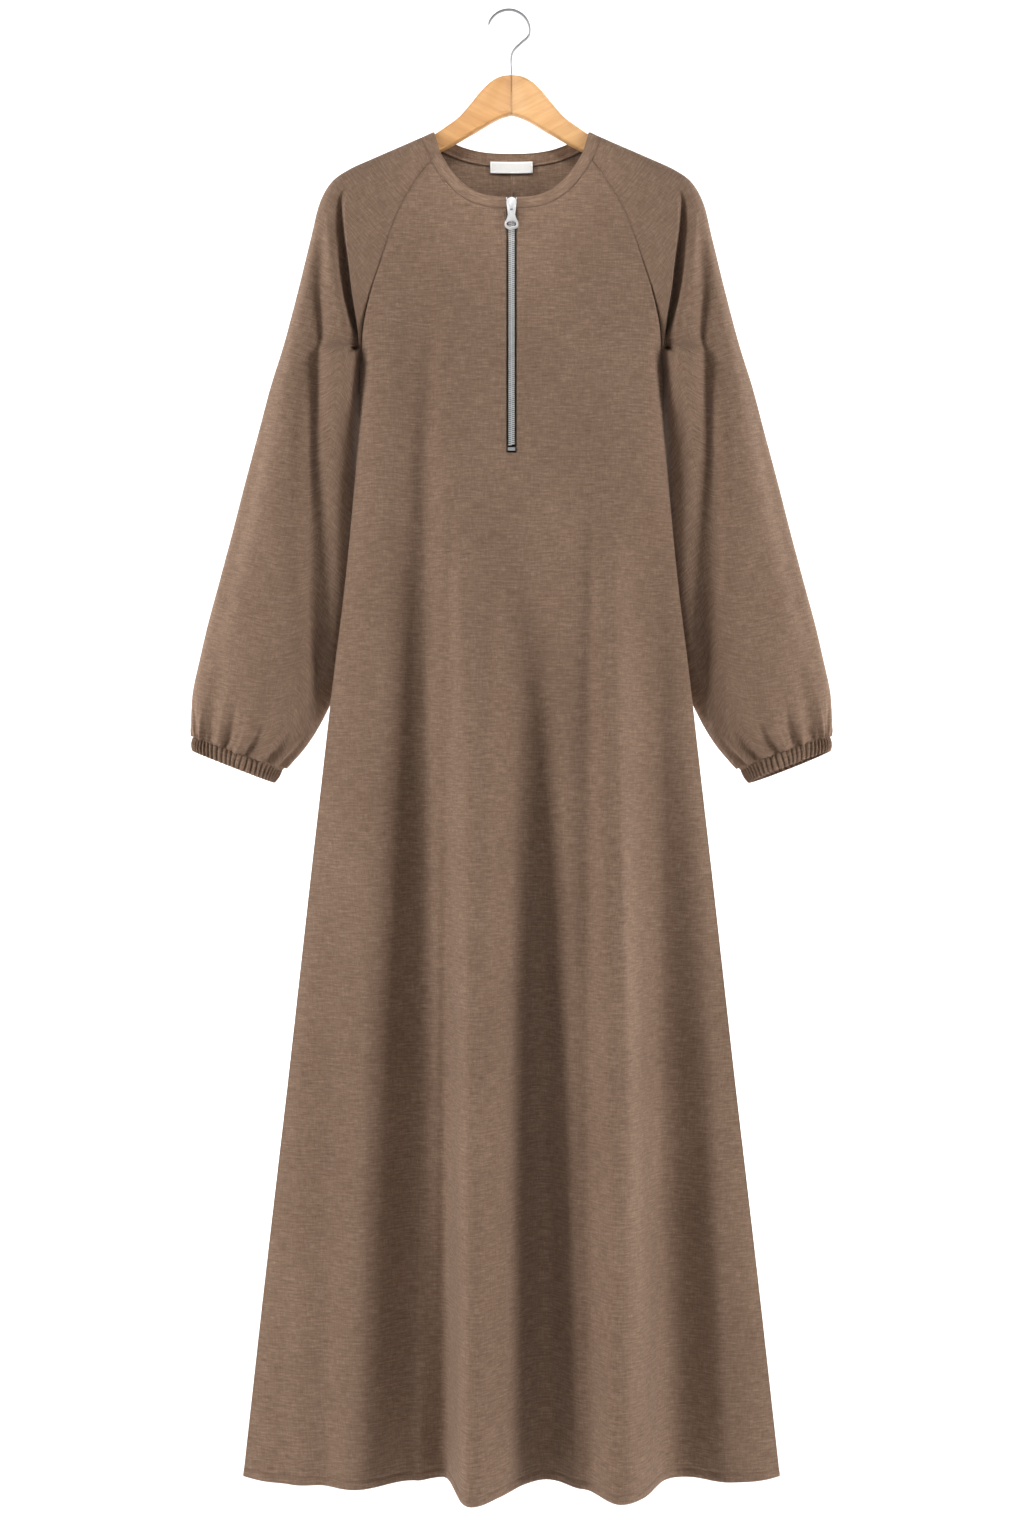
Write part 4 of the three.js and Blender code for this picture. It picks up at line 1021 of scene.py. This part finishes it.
def band_grid():
    parts = []
    for points, columns in (
        (lambda r, c: body_points(r, c, 1, SLIT_HALF, -1), np.linspace(0, 1, BAND_COLUMNS[0])),
        (sleeve_points, np.linspace(0, 2, BAND_COLUMNS[1] + 1)[1:]),
        (lambda r, c: body_points(r, 1 - c, 1, 0, 1), np.linspace(0, 1, BAND_COLUMNS[2] + 1)[1:]),
    ):
        r, c = np.meshgrid(BAND_ROWS, columns, indexing="ij")
        parts.append(points(r, c))
    right = np.concatenate(parts, axis=1)
    left = right[:, -2::-1] * np.array([-1, 1, 1])
    grid = np.concatenate([right, left], axis=1)
    normals = grid_normals(grid)
    distance = along_rows(grid)
    last = grid.shape[1] - 1
    relief = np.zeros(distance.shape)
    for column in [*BAND_SEAMS, *(last - BAND_SEAMS)]:
        relief -= SEAM_DIP * bell(distance - distance[:, column : column + 1], BAND_SEAM_WIDTH)
    r = np.broadcast_to(BAND_ROWS[:, None], relief.shape)
    relief = relief - BAND_EDGE * bell(r, BAND_EDGE_ROWS) - BAND_STEP * smooth_step(0.95, 1.05, r)
    return moved(grid, normals, relief)


band_points = band_grid()
band_middle = band_points.shape[1] // 2
neck_band = cloth_object("neck_band_cloth", band_points, cut_uv(band_points, band_middle), thick=1.2)
dress(neck_band, "neckband")

# %% [markdown]
# The label is a short piece of white ribbon with its ends folded under, sewn inside the back. It is
# bare. It hangs a little off the cloth at its lower edge, so it throws a soft shadow. Its middle is
# painted grey as shade, and a band round its edges is painted lighter as a painted highlight.

# %% Label
LABEL_HALF = 22.5
LABEL_TOP = 153.4
LABEL_BOTTOM = 165.5
LABEL_OFF = 3.3  # from the back's outer face to the label's inner face
LABEL_COLUMNS, LABEL_ROWS = 49, 13
# Widths of the label's edge band that is painted lighter, as a painted highlight.
PAINTED_RIM_SIDE, PAINTED_RIM_TOP, PAINTED_RIM_BOTTOM = 1.4, 1.1, 1.4


def label_grid():
    s, t = np.meshgrid(np.linspace(0, 1, LABEL_ROWS), np.linspace(-1, 1, LABEL_COLUMNS), indexing="ij")
    down = lerp(LABEL_TOP, LABEL_BOTTOM, s) - 0.35 * t * t
    lift = LABEL_OFF + 0.35 * s + 0.15 * np.sin(5 * t) - 0.25 * smooth_step(0.93, 1, np.abs(t))
    y = read(BODY, "down", down, "back") - lift
    return np.stack([LABEL_HALF * t, y, -down], axis=-1)[:, ::-1] * np.array([-1, 1, 1])


label_points = label_grid()
label_uv = cut_uv(label_points, LABEL_COLUMNS // 2)
label_piece = cloth_object("bare_label", label_points, label_uv, thick=0.4, finish=label_ribbon)
# Marks the label's edge band, where its colour is painted lighter as a painted highlight.
painted_highlight_rim = label_piece.data.attributes.new("painted_highlight_rim", "FLOAT", "POINT")
for point, value in zip(label_piece.data.vertices, painted_highlight_rim.data):
    beside, down = abs(point.co.x) / MM, -point.co.z / MM
    inside = beside <= LABEL_HALF - PAINTED_RIM_SIDE and LABEL_TOP + PAINTED_RIM_TOP < down < LABEL_BOTTOM - PAINTED_RIM_BOTTOM
    value.value = 0.0 if inside else 1.0
dress(label_piece, "label")

# %% [markdown]
# Each zip tape is a woven strip behind the slit. Only a narrow dark line of it shows beside the
# teeth, but it runs on under the cloth, as a real one does.

# %% Zip tapes
ZIP_TOP = 200.8
TAPE_END = 479.7
TAPE_INNER = 4.1
TAPE_OUTER = 16
TAPE_BEHIND = 2.1  # from the front's outer face


def zip_face(down):
    return -read(BODY, "down", down, "front")


def tape_grid():
    s, t = np.meshgrid(np.linspace(0, 1, 60), np.linspace(0, 1, 8), indexing="ij")
    down = lerp(ZIP_TOP, TAPE_END, s)
    cord = 0.35 * bell(t, 0.12)
    y = zip_face(down) + TAPE_BEHIND - cord
    return np.stack([lerp(TAPE_INNER, TAPE_OUTER, t), y, -down], axis=-1)


tape_points = tape_grid()
tapes = {}
for word, mirrored in (("right", False), ("left", True)):
    tapes[word] = cloth_object(
        "zip_tape_weave_" + word, tape_points, cut_uv(tape_points, 0), mirrored=mirrored,
        thick=0.6, finish=tape_weave)
    dress(tapes[word], "zip_tape_" + word)

# %% [markdown]
# Flat metal and wooden pieces start as a 2D curve. Blender fills such a curve, keeps inner loops as
# holes, gives it a thickness and rounds its edges, all in one go. It is then made a plain mesh and
# stood upright, so that its place is in its mesh.


# %% Flat pieces from outlines
SHARP_FROM = 38


def plain_mesh(name, drawn):
    bpy.context.view_layer.update()
    mesh = bpy.data.meshes.new_from_object(drawn.evaluated_get(bpy.context.evaluated_depsgraph_get()))
    mesh.name = name
    return mesh


def flat_piece(name, loops, thick, edge, turn, finish, edge_steps=2):
    curve = bpy.data.curves.new(name, "CURVE")
    curve.dimensions = "2D"
    curve.fill_mode = "BOTH"
    curve.extrude = (thick / 2 - edge) * MM
    curve.bevel_depth = edge * MM
    curve.bevel_resolution = edge_steps
    curve.offset = -edge * MM
    for loop in loops:
        spline = curve.splines.new("POLY")
        spline.points.add(len(loop) - 1)
        for point, (u, v) in zip(spline.points, loop):
            point.co = (u * MM, v * MM, 0, 1)
        spline.use_cyclic_u = True
    drawn = placed(name + "_curve", curve)
    mesh = plain_mesh(name, drawn)
    bpy.data.objects.remove(drawn)
    work = bmesh.new()
    work.from_mesh(mesh)
    for vertex in work.verts:
        vertex.co = Vector(turn(*(c / MM for c in vertex.co))) * MM
    bmesh.ops.remove_doubles(work, verts=work.verts, dist=MERGE)
    bmesh.ops.recalc_face_normals(work, faces=work.faces)
    work.to_mesh(mesh)
    work.free()
    mesh.materials.clear()
    mesh.materials.append(finish)
    mesh.shade_smooth()
    mesh.set_sharp_from_angle(angle=math.radians(SHARP_FROM))
    return placed(name, mesh)


def upright(middle_y):
    return lambda u, v, w: (u, middle_y - w, v)


def curve_to(points, control, end, steps=7):
    start = points[-1]
    for i in range(1, steps + 1):
        t = i / steps
        points.append(tuple((1 - t) ** 2 * a + 2 * t * (1 - t) * b + t * t * c
                            for a, b, c in zip(start, control, end)))


print("flat pieces ready")

# %% [markdown]
# The slider has a front and a back plate, joined above the teeth, and a bridge on the front plate
# that holds the pull. Its front plate has a pointed top. The pull is a thin plate with a slot for
# the bridge at its top and a ring at its bottom. Only the pull can swing, so it rides on its own body.

# %% Slider and pull
SLIDER_TOP, SLIDER_BOTTOM, WIDE_DOWN = 201.0, 217.5, 204.8
WIDE_HALF, LOW_HALF, PLATE = 5.2, 4.1, 1.6
CHAIN_FRONT, CHAIN_BACK, PLATE_CLEAR = 0.3, 3.0, 0.35  # the chain's faces, from the cloth's face
cloth_face = float(zip_face(201.5))
slider_front = cloth_face - CHAIN_FRONT - PLATE_CLEAR
slider_face = slider_front - PLATE
BRIDGE_HALF, BRIDGE_LENGTH, BRIDGE_RISE, BRIDGE_BAR, BRIDGE_CLEAR = 1.4, 11, 5.2, 1.4, 3.6
PIVOT_DOWN = 208.9
POST_LOOP = [(-1.5, -203), (1.5, -203), (1.2, -208.5), (-1.2, -208.5)]


def plate_loop():
    half = [(0, SLIDER_TOP)]
    curve_to(half, (2.4, SLIDER_TOP + 0.3), (4.2, SLIDER_TOP + 1.9))
    curve_to(half, (WIDE_HALF + 0.2, WIDE_DOWN - 0.4), (WIDE_HALF, WIDE_DOWN + 1.6))
    curve_to(half, (WIDE_HALF - 0.3, WIDE_DOWN + 5.5), (LOW_HALF, SLIDER_BOTTOM - 1.2))
    curve_to(half, (LOW_HALF - 0.1, SLIDER_BOTTOM), (LOW_HALF - 1.2, SLIDER_BOTTOM), 4)
    return [(x, -down) for x, down in half] + [(-x, -down) for x, down in half[:0:-1]]


def bridge_loop():
    half, rise, bar, foot = BRIDGE_LENGTH / 2, BRIDGE_RISE, BRIDGE_BAR, 0.5
    points = [(-half, -foot), (-half, rise - 2.2)]
    curve_to(points, (-half, rise), (-half + 2.2, rise), 6)
    points.append((half - 2.2, rise))
    curve_to(points, (half, rise), (half, rise - 2.2), 6)
    points += [(half, -foot), (half - bar, -foot), (half - bar, BRIDGE_CLEAR - 0.9)]
    curve_to(points, (half - bar, BRIDGE_CLEAR), (half - bar - 0.9, BRIDGE_CLEAR), 4)
    points.append((-half + bar + 0.9, BRIDGE_CLEAR))
    curve_to(points, (-half + bar, BRIDGE_CLEAR), (-half + bar, BRIDGE_CLEAR - 0.9), 4)
    return points + [(-half + bar, -foot)]


def joined(name, pieces):
    work = bmesh.new()
    for piece in pieces:
        work.from_mesh(piece.data)
    mesh = bpy.data.meshes.new(name)
    work.to_mesh(mesh)
    work.free()
    for finish in pieces[0].data.materials:
        mesh.materials.append(finish)
    for piece in pieces:
        bpy.data.objects.remove(piece)
    return placed(name, mesh)


back_plate_y = cloth_face + CHAIN_BACK + PLATE_CLEAR + PLATE / 2
front_plate = flat_piece(
    "front_plate", [plate_loop()], PLATE, 0.45, upright(slider_front - PLATE / 2), zip_metal, 3)
back_plate = flat_piece("back_plate", [plate_loop()], PLATE, 0.4, upright(back_plate_y), zip_metal, 2)
post_middle = (slider_front + back_plate_y) / 2
post = flat_piece("post", [POST_LOOP], back_plate_y - slider_front, 0.2, upright(post_middle), zip_metal)
bridge = flat_piece(
    "bridge", [bridge_loop()], 2 * BRIDGE_HALF, 0.45,
    lambda u, v, w: (w, slider_face - v, u - PIVOT_DOWN), zip_metal, 3)
slider_piece = joined("slider_detail", [front_plate, back_plate, post, bridge])
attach(slider_piece, GARMENT)
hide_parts("zip_slider")
print("slider faces", len(slider_piece.data.polygons))

# %% [markdown]
# The pull narrows to a waist and widens to a ring, through which the teeth show. It hangs round the
# bridge with room to swing.

# %% The pull
PULL_THICK = 1.4
PULL_TOP = 208.05
WAIST_DOWN, WAIST_HALF = 219, 3.6
RING_DOWN, RING_HALF, PULL_END = 230, 7.1, 235.2
HOLE_HALF, HOLE_HIGH, HOLE_DOWN = 4.9, 3.1, 229.6
SLOT_HALF, SLOT_TOP, SLOT_BOTTOM = 1.9, 209.75, 216.1


def pull_loops():
    half = [(0, PULL_TOP), (2.4, PULL_TOP)]
    curve_to(half, (3.3, PULL_TOP), (3.35, PULL_TOP + 1), 4)
    half.append((WAIST_HALF - 0.05, WAIST_DOWN - 2))
    curve_to(half, (WAIST_HALF, WAIST_DOWN + 3), (RING_HALF - 1, RING_DOWN - 4))
    curve_to(half, (RING_HALF, RING_DOWN - 2), (RING_HALF, RING_DOWN))
    curve_to(half, (RING_HALF, PULL_END), (0, PULL_END), 12)
    outline = [(x, -down) for x, down in half] + [(-x, -down) for x, down in half[-2:0:-1]]
    angles = np.linspace(0, 2 * math.pi, 36, endpoint=False)
    ring = [(HOLE_HALF * math.cos(a), -HOLE_DOWN + HOLE_HIGH * math.sin(a)) for a in angles]
    side = [(SLOT_HALF, SLOT_TOP), (SLOT_HALF, SLOT_BOTTOM - 1.9)]
    curve_to(side, (SLOT_HALF, SLOT_BOTTOM), (0, SLOT_BOTTOM), 8)
    window = [(x, -down) for x, down in side] + [(-x, -down) for x, down in side[-2::-1]]
    return [outline, ring, window]


pull_y = slider_face - BRIDGE_CLEAR / 2
pull_piece = flat_piece("pull_detail", pull_loops(), PULL_THICK, 0.4, upright(pull_y), zip_metal, 3)
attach(pull_piece, "pull_tab")
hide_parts("pull_tab")
print("pull faces", len(pull_piece.data.polygons))

# %% [markdown]
# The teeth repeat along the tapes, so Geometry Nodes make them: a line down the zip is cut into
# evenly spaced points, each point gets one small tooth, and the instances are made real, because an
# export drops instances. The left row sits half a pitch lower than the right one, so they mesh. The
# result becomes a plain mesh and the modifier goes.


# %% A tree that repeats a piece along a line
def repeat_tree(name):
    tree = bpy.data.node_groups.new(name, "GeometryNodeTree")
    sockets = [("Geometry", "NodeSocketGeometry"), ("Piece", "NodeSocketObject"),
               ("Spacing", "NodeSocketFloat"), ("Finish", "NodeSocketMaterial")]
    for label, kind in sockets:
        tree.interface.new_socket(label, in_out="INPUT", socket_type=kind)
    tree.interface.new_socket("Geometry", in_out="OUTPUT", socket_type="NodeSocketGeometry")
    made = {}
    for key, kind in (
        ("in", "NodeGroupInput"), ("out", "NodeGroupOutput"), ("curve", "GeometryNodeMeshToCurve"),
        ("points", "GeometryNodeCurveToPoints"), ("piece", "GeometryNodeObjectInfo"),
        ("instance", "GeometryNodeInstanceOnPoints"), ("real", "GeometryNodeRealizeInstances"),
        ("finish", "GeometryNodeSetMaterial"),
    ):
        made[key] = tree.nodes.new(kind)
    made["points"].mode = "LENGTH"
    for source, output, target, socket in (
        ("in", "Geometry", "curve", "Mesh"), ("curve", "Curve", "points", "Curve"),
        ("in", "Spacing", "points", "Length"), ("in", "Piece", "piece", "Object"),
        ("points", "Points", "instance", "Points"), ("points", "Rotation", "instance", "Rotation"),
        ("piece", "Geometry", "instance", "Instance"), ("instance", "Instances", "real", "Geometry"),
        ("real", "Geometry", "finish", "Geometry"), ("in", "Finish", "finish", "Material"),
        ("finish", "Geometry", "out", "Geometry"),
    ):
        tree.links.new(made[source].outputs[output], made[target].inputs[socket])
    return tree


repeat_along = repeat_tree("repeat along a line")


def repeated(name, lines, piece, spacing, finish):
    points = [tuple(p) for line in lines for p in line]
    edges = []
    start = 0
    for line in lines:
        edges += [(start + i, start + i + 1) for i in range(len(line) - 1)]
        start += len(line)
    mesh = bpy.data.meshes.new(name)
    mesh.from_pydata([tuple(c * MM for c in p) for p in points], edges, [])
    made = placed(name, mesh)
    modifier = made.modifiers.new("repeat", "NODES")
    modifier.node_group = repeat_along
    values = {"Piece": piece, "Spacing": spacing * MM, "Finish": finish}
    for item in repeat_along.interface.items_tree:
        if item.item_type == "SOCKET" and item.in_out == "INPUT" and item.name in values:
            modifier[item.identifier] = values[item.name]
    made.update_tag()
    real = plain_mesh(name, made)
    made.modifiers.clear()
    made.data = real
    return made


print("tree", repeat_along.name)

# %% [markdown]
# A tooth is a small block that is wider at its tip, with softened edges. The two rows of teeth are
# turned so that each reaches out to its own tape.

# %% Zip teeth
TOOTH_PITCH = 2.1
TOOTH_ENDS = ((-0.7, 1.7, 1.05), (3.1, 2.3, 1.35))  # how far out, how thick and how high at each end
TOOTH_BEHIND = 0.85  # from the front's outer face
CHAIN_TOP, CHAIN_END = 218.4, 461.5


def small_block(name, ends, edge):
    work = bmesh.new()
    bmesh.ops.create_cube(work, size=1)
    for vertex in work.verts:
        x, wide, high = ends[0] if vertex.co.x < 0 else ends[1]
        vertex.co = Vector((x, vertex.co.y * wide, vertex.co.z * high)) * MM
    bmesh.ops.bevel(work, geom=work.edges, offset=edge * MM, segments=1, affect="EDGES")
    mesh = bpy.data.meshes.new(name)
    work.to_mesh(mesh)
    work.free()
    return placed(name, mesh)


tooth = small_block("tooth", TOOTH_ENDS, 0.25)
teeth = []
for side in (1, -1):
    start = CHAIN_TOP + (0 if side > 0 else TOOTH_PITCH / 2)
    downs = np.arange(start, CHAIN_END, 10)
    line = [(0, float(zip_face(d)) + TOOTH_BEHIND, -d) for d in downs]
    row = repeated("teeth_" + str(side), [line], tooth, TOOTH_PITCH, zip_metal)
    reach = max((v.co.x for v in row.data.vertices), key=abs)
    if reach * side < 0:
        row.data.transform(Matrix.Scale(-1, 4, (1, 0, 0)))
        row.data.flip_normals()
    teeth.append(row)
for row in teeth:
    corners = np.array([v.co for v in row.data.vertices]) / MM
    print(row.name, "from", corners.min(axis=0).round(2), "to", corners.max(axis=0).round(2))

# %% [markdown]
# The two rows are joined into one piece, because they stand for the one bar of the CAD model, and
# the single tooth that they were copied from is taken away.

# %% Join the teeth and the chain
bpy.data.objects.remove(tooth)
zip_teeth = joined("zip_teeth", teeth)
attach(zip_teeth, GARMENT)
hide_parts("zip_chain")
print("teeth faces", len(zip_teeth.data.polygons))

# %% [markdown]
# A row of stitching is a line of short threads, each one sunk at its ends where it goes through the
# cloth. The same tree makes them. The neck edge has one row outside, and two inside the back, and the
# hem has one. Each line runs along a row of points of the cloth that it holds, a hair above it.

# %% Stitches
STITCH_LONG, STITCH_WIDE = 2.3, 0.42
STITCH_STEP = 3.1
STITCH_ROW = 9  # the band's row of points nearest to its seam
INNER_ROWS = (7, 9)
STITCH_LIFT, INNER_LIFT = 0.1, -1.25  # from the cloth's outer face


def lifted(line, normals, lift):
    return [tuple(p) for p in line + normals * lift]


band_normals = grid_normals(band_points)
back_part = slice(BAND_SEAMS[1] + 2, band_points.shape[1] - BAND_SEAMS[1] - 3)
hem_row = front_points.shape[0] - 1 - int(np.argmin(np.abs(HEM_ROWS - HEM_FOLD)))
hem_lines = []
for points in (front_points, back_points[1], back_points[-1]):
    hem_lines.append(lifted(points[hem_row], grid_normals(points)[hem_row], STITCH_LIFT))
neck_lines = [lifted(band_points[STITCH_ROW, 1:-1], band_normals[STITCH_ROW, 1:-1], STITCH_LIFT)]
inner_lines = [lifted(band_points[row, back_part], band_normals[row, back_part], INNER_LIFT)
               for row in INNER_ROWS]
stitch_ends = [(side * STITCH_WIDE / 2, STITCH_WIDE, STITCH_LONG) for side in (-1, 1)]
stitch = small_block("stitch", stitch_ends, 0.12)
stitching = {}
for name, lines in (("neck_stitches", neck_lines), ("inner_neck_stitches", inner_lines),
                    ("hem_stitches", hem_lines)):
    stitching[name] = repeated(name, lines, stitch, STITCH_STEP, thread)
    print(name, "faces", len(stitching[name].data.polygons))
bpy.data.objects.remove(stitch)
for piece in stitching.values():
    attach(piece, GARMENT)

# %% [markdown]
# The hook is bent from one wire, three millimetres thick, so a curve with a round bevel is the
# natural way to make it. Its point is filed round.

# %% Hook
WIRE_RADIUS = 1.5
HOOK_RADIUS = 22
HOOK_CENTRE_X = -3
HOOK_BENDS = [(0, 84), (0, 62), (0, 47), (3.4, 39.8), (10, 33.2)]
HOOK_ARC = np.linspace(-12, 165, 25)


def hook_wire():
    inside = HOOK_RADIUS - WIRE_RADIUS
    centre_down = math.sqrt(inside**2 - HOOK_CENTRE_X**2)
    points = list(HOOK_BENDS)
    for angle in np.radians(HOOK_ARC):
        points.append((HOOK_CENTRE_X + HOOK_RADIUS * math.cos(angle),
                       centre_down - HOOK_RADIUS * math.sin(angle)))
    curve = bpy.data.curves.new("hook_wire", "CURVE")
    curve.dimensions = "3D"
    curve.bevel_depth = WIRE_RADIUS * MM
    curve.bevel_resolution = 6
    curve.resolution_u = 5
    curve.use_fill_caps = True
    spline = curve.splines.new("BEZIER")
    spline.bezier_points.add(len(points) - 1)
    for point, (x, down) in zip(spline.bezier_points, points):
        point.co = (x * MM, 0, -down * MM)
        point.handle_left_type = point.handle_right_type = "AUTO"
    spline.bezier_points[-1].radius = 0.45
    drawn = placed("hook_curve", curve)
    mesh = plain_mesh("hook_wire", drawn)
    bpy.data.objects.remove(drawn)
    mesh.materials.clear()
    mesh.materials.append(wire_metal)
    mesh.shade_smooth()
    return placed("hook_wire", mesh)


hook_piece = hook_wire()
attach(hook_piece, GARMENT)
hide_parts("hook")
print("hook faces", len(hook_piece.data.polygons))

# %% [markdown]
# The hanger is two flat wooden arms that meet in the middle. One outline with rounded edges is
# drawn for both, and then cut at the middle, so that the joint is a thin dark line.

# %% Wooden arms
WOOD_THICK = 11
WOOD_EDGE = 3
JOINT_HALF = 0.03
TOP_STEPS, BOTTOM_STEPS = 56, 48  # points along the arm's upper and lower edge
WOOD_TOP = [(0, 67.5), (12, 69.3), (22.6, 75.3), (33.1, 85.6), (43.6, 98.5), (55.1, 111.5), (69.8, 122.4),
            (81.4, 130.1), (95, 135.8), (123.4, 148.3), (147.5, 158.8), (168, 168.9), (176, 175.4)]
WOOD_END = [(178.6, 178.6), (179, 181.5), (178.2, 185), (175, 186.5)]
WOOD_BOTTOM = [(175, 186.5), (158, 181.5), (120, 166), (74, 147.1), (37.3, 127.1), (14, 113.5), (0, 108.8)]


def smooth_line(points, steps):
    rows = np.array(points, dtype=float)
    if rows[0, 0] > rows[-1, 0]:
        rows = rows[::-1]
    line = {"x": rows[:, 0], "down": rows[:, 1]}
    x = np.linspace(rows[0, 0], rows[-1, 0], steps)
    made = list(zip(x, read(line, "x", x, "down")))
    return made if points[0][0] < points[-1][0] else made[::-1]


def wooden_arm(name, side, finish):
    top = smooth_line(WOOD_TOP, TOP_STEPS)
    bottom = smooth_line(WOOD_BOTTOM, BOTTOM_STEPS)
    half = top + WOOD_END[:-1] + bottom
    loop = [(x, -down) for x, down in half] + [(-x, -down) for x, down in half[-2:0:-1]]
    made = flat_piece(name, [loop], WOOD_THICK, WOOD_EDGE, upright(0), finish, 4)
    work = bmesh.new()
    work.from_mesh(made.data)
    everything = work.verts[:] + work.edges[:] + work.faces[:]
    cut = bmesh.ops.bisect_plane(work, geom=everything, plane_co=(side * JOINT_HALF * MM, 0, 0),
                                 plane_no=(side, 0, 0), clear_inner=True)
    edges = [e for e in cut["geom_cut"] if isinstance(e, bmesh.types.BMEdge)]
    bmesh.ops.holes_fill(work, edges=edges)
    bmesh.ops.recalc_face_normals(work, faces=work.faces)
    work.to_mesh(made.data)
    work.free()
    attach(made, GARMENT)
    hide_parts("hanger_" + name.split("_")[-1])
    print(name, "faces", len(made.data.polygons))
    return made


arm_left = wooden_arm("wooden_arm_left", -1, wood_left)
arm_right = wooden_arm("wooden_arm_right", 1, wood_right)

# %% [markdown]
# The three small stops of the zip are pressed metal. They have their right shapes already in the
# CAD model, so they stay, and only get the metal finish.

# %% Stops
for name in ("zip_stop_right", "zip_stop_left", "zip_stop_bottom"):
    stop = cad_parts[name]
    stop.data.materials.clear()
    stop.data.materials.append(zip_metal)
print("stops finished in", zip_metal.name)

# %% [markdown]
# Every piece of cloth was cut flat before it was sewn.


# %% [markdown]
# The photograph is lit from both sides against white, so the troughs of the folds are dark and the
# crests bright. Two tall soft lights give that. A weak one reaches into the neck, a large card is
# reflected by the zip alone, and two more light the pale paper sweep behind.

# %% Lights and sweep
FLOOR = -1.62
SWEEP_BACK = 3.2
SWEEP_RADIUS = 1.1
SWEEP_HALF = 9
SWEEP_FRONT, SWEEP_TOP = -4.0, 3.2
SWEEP_STEPS = 24
STUDIO_LIGHT = 0.035


def sweep():
    profile = [(SWEEP_FRONT, FLOOR), (SWEEP_BACK - SWEEP_RADIUS, FLOOR)]
    for i in range(1, SWEEP_STEPS + 1):
        angle = math.pi / 2 * i / SWEEP_STEPS
        profile.append((SWEEP_BACK - SWEEP_RADIUS + SWEEP_RADIUS * math.sin(angle),
                        FLOOR + SWEEP_RADIUS * (1 - math.cos(angle))))
    profile.append((SWEEP_BACK, SWEEP_TOP))
    points = [(x, y, z) for y, z in profile for x in (-SWEEP_HALF, SWEEP_HALF)]
    faces = [(2 * i, 2 * i + 1, 2 * i + 3, 2 * i + 2) for i in range(len(profile) - 1)]
    mesh = bpy.data.meshes.new("pale_sweep")
    mesh.from_pydata(points, [], faces)
    mesh.shade_smooth()
    made = placed("pale_sweep", mesh)
    paper, _, shader = new_material("pale_paper", Roughness=0.9)
    shader.inputs["Base Color"].default_value = (0.93, 0.93, 0.93, 1)
    mesh.materials.append(paper)


def soft_light(name, location, aim, size, power, spread=180):
    lamp = bpy.data.lights.new(name, "AREA")
    lamp.shape = "RECTANGLE"
    lamp.size, lamp.size_y = size
    lamp.energy = power
    lamp.spread = math.radians(spread)
    made = placed(name, lamp)
    made.location = location
    direction = np.array(aim) - np.array(location)
    made.rotation_euler = Vector(direction).to_track_quat("-Z", "Y").to_euler()
    return made


sweep()
soft_light("side_left", (-2.6, -1.2, 0.1), (0, 0, -0.8), (0.7, 2.4), 84)
soft_light("side_right", (2.6, -1.2, 0.1), (0, 0, -0.8), (0.7, 2.4), 78)
soft_light("neck_fill", (0, -0.5, 0.25), (0, 0.02, -0.17), (0.1, 0.1), 0.07, spread=24)
metal_card = soft_light("metal_card", (0, -3.5, 0.2), (0, 0, -0.3), (3, 3), 5)
shiny = bpy.data.collections.new("shiny pieces")
for piece in (slider_piece, pull_piece, zip_teeth):
    shiny.objects.link(piece)
metal_card.light_linking.receiver_collection = shiny
soft_light("front", (-0.5, -3.4, 0.9), (0, 0, -0.8), (1.2, 1.2), 4)
soft_light("wall_left", (-3.2, 1.7, 0.6), (-0.9, 3.2, -0.8), (1.4, 3.2), 190)
soft_light("wall_right", (3.2, 1.7, 0.6), (0.9, 3.2, -0.8), (1.4, 3.2), 190)
world = bpy.data.worlds.new("studio")
world.use_nodes = True
background = world.node_tree.nodes["Background"]
background.inputs["Color"].default_value = (1, 1, 1, 1)
background.inputs["Strength"].default_value = STUDIO_LIGHT
bpy.context.scene.world = world
bpy.context.scene.view_settings.view_transform = "Standard"
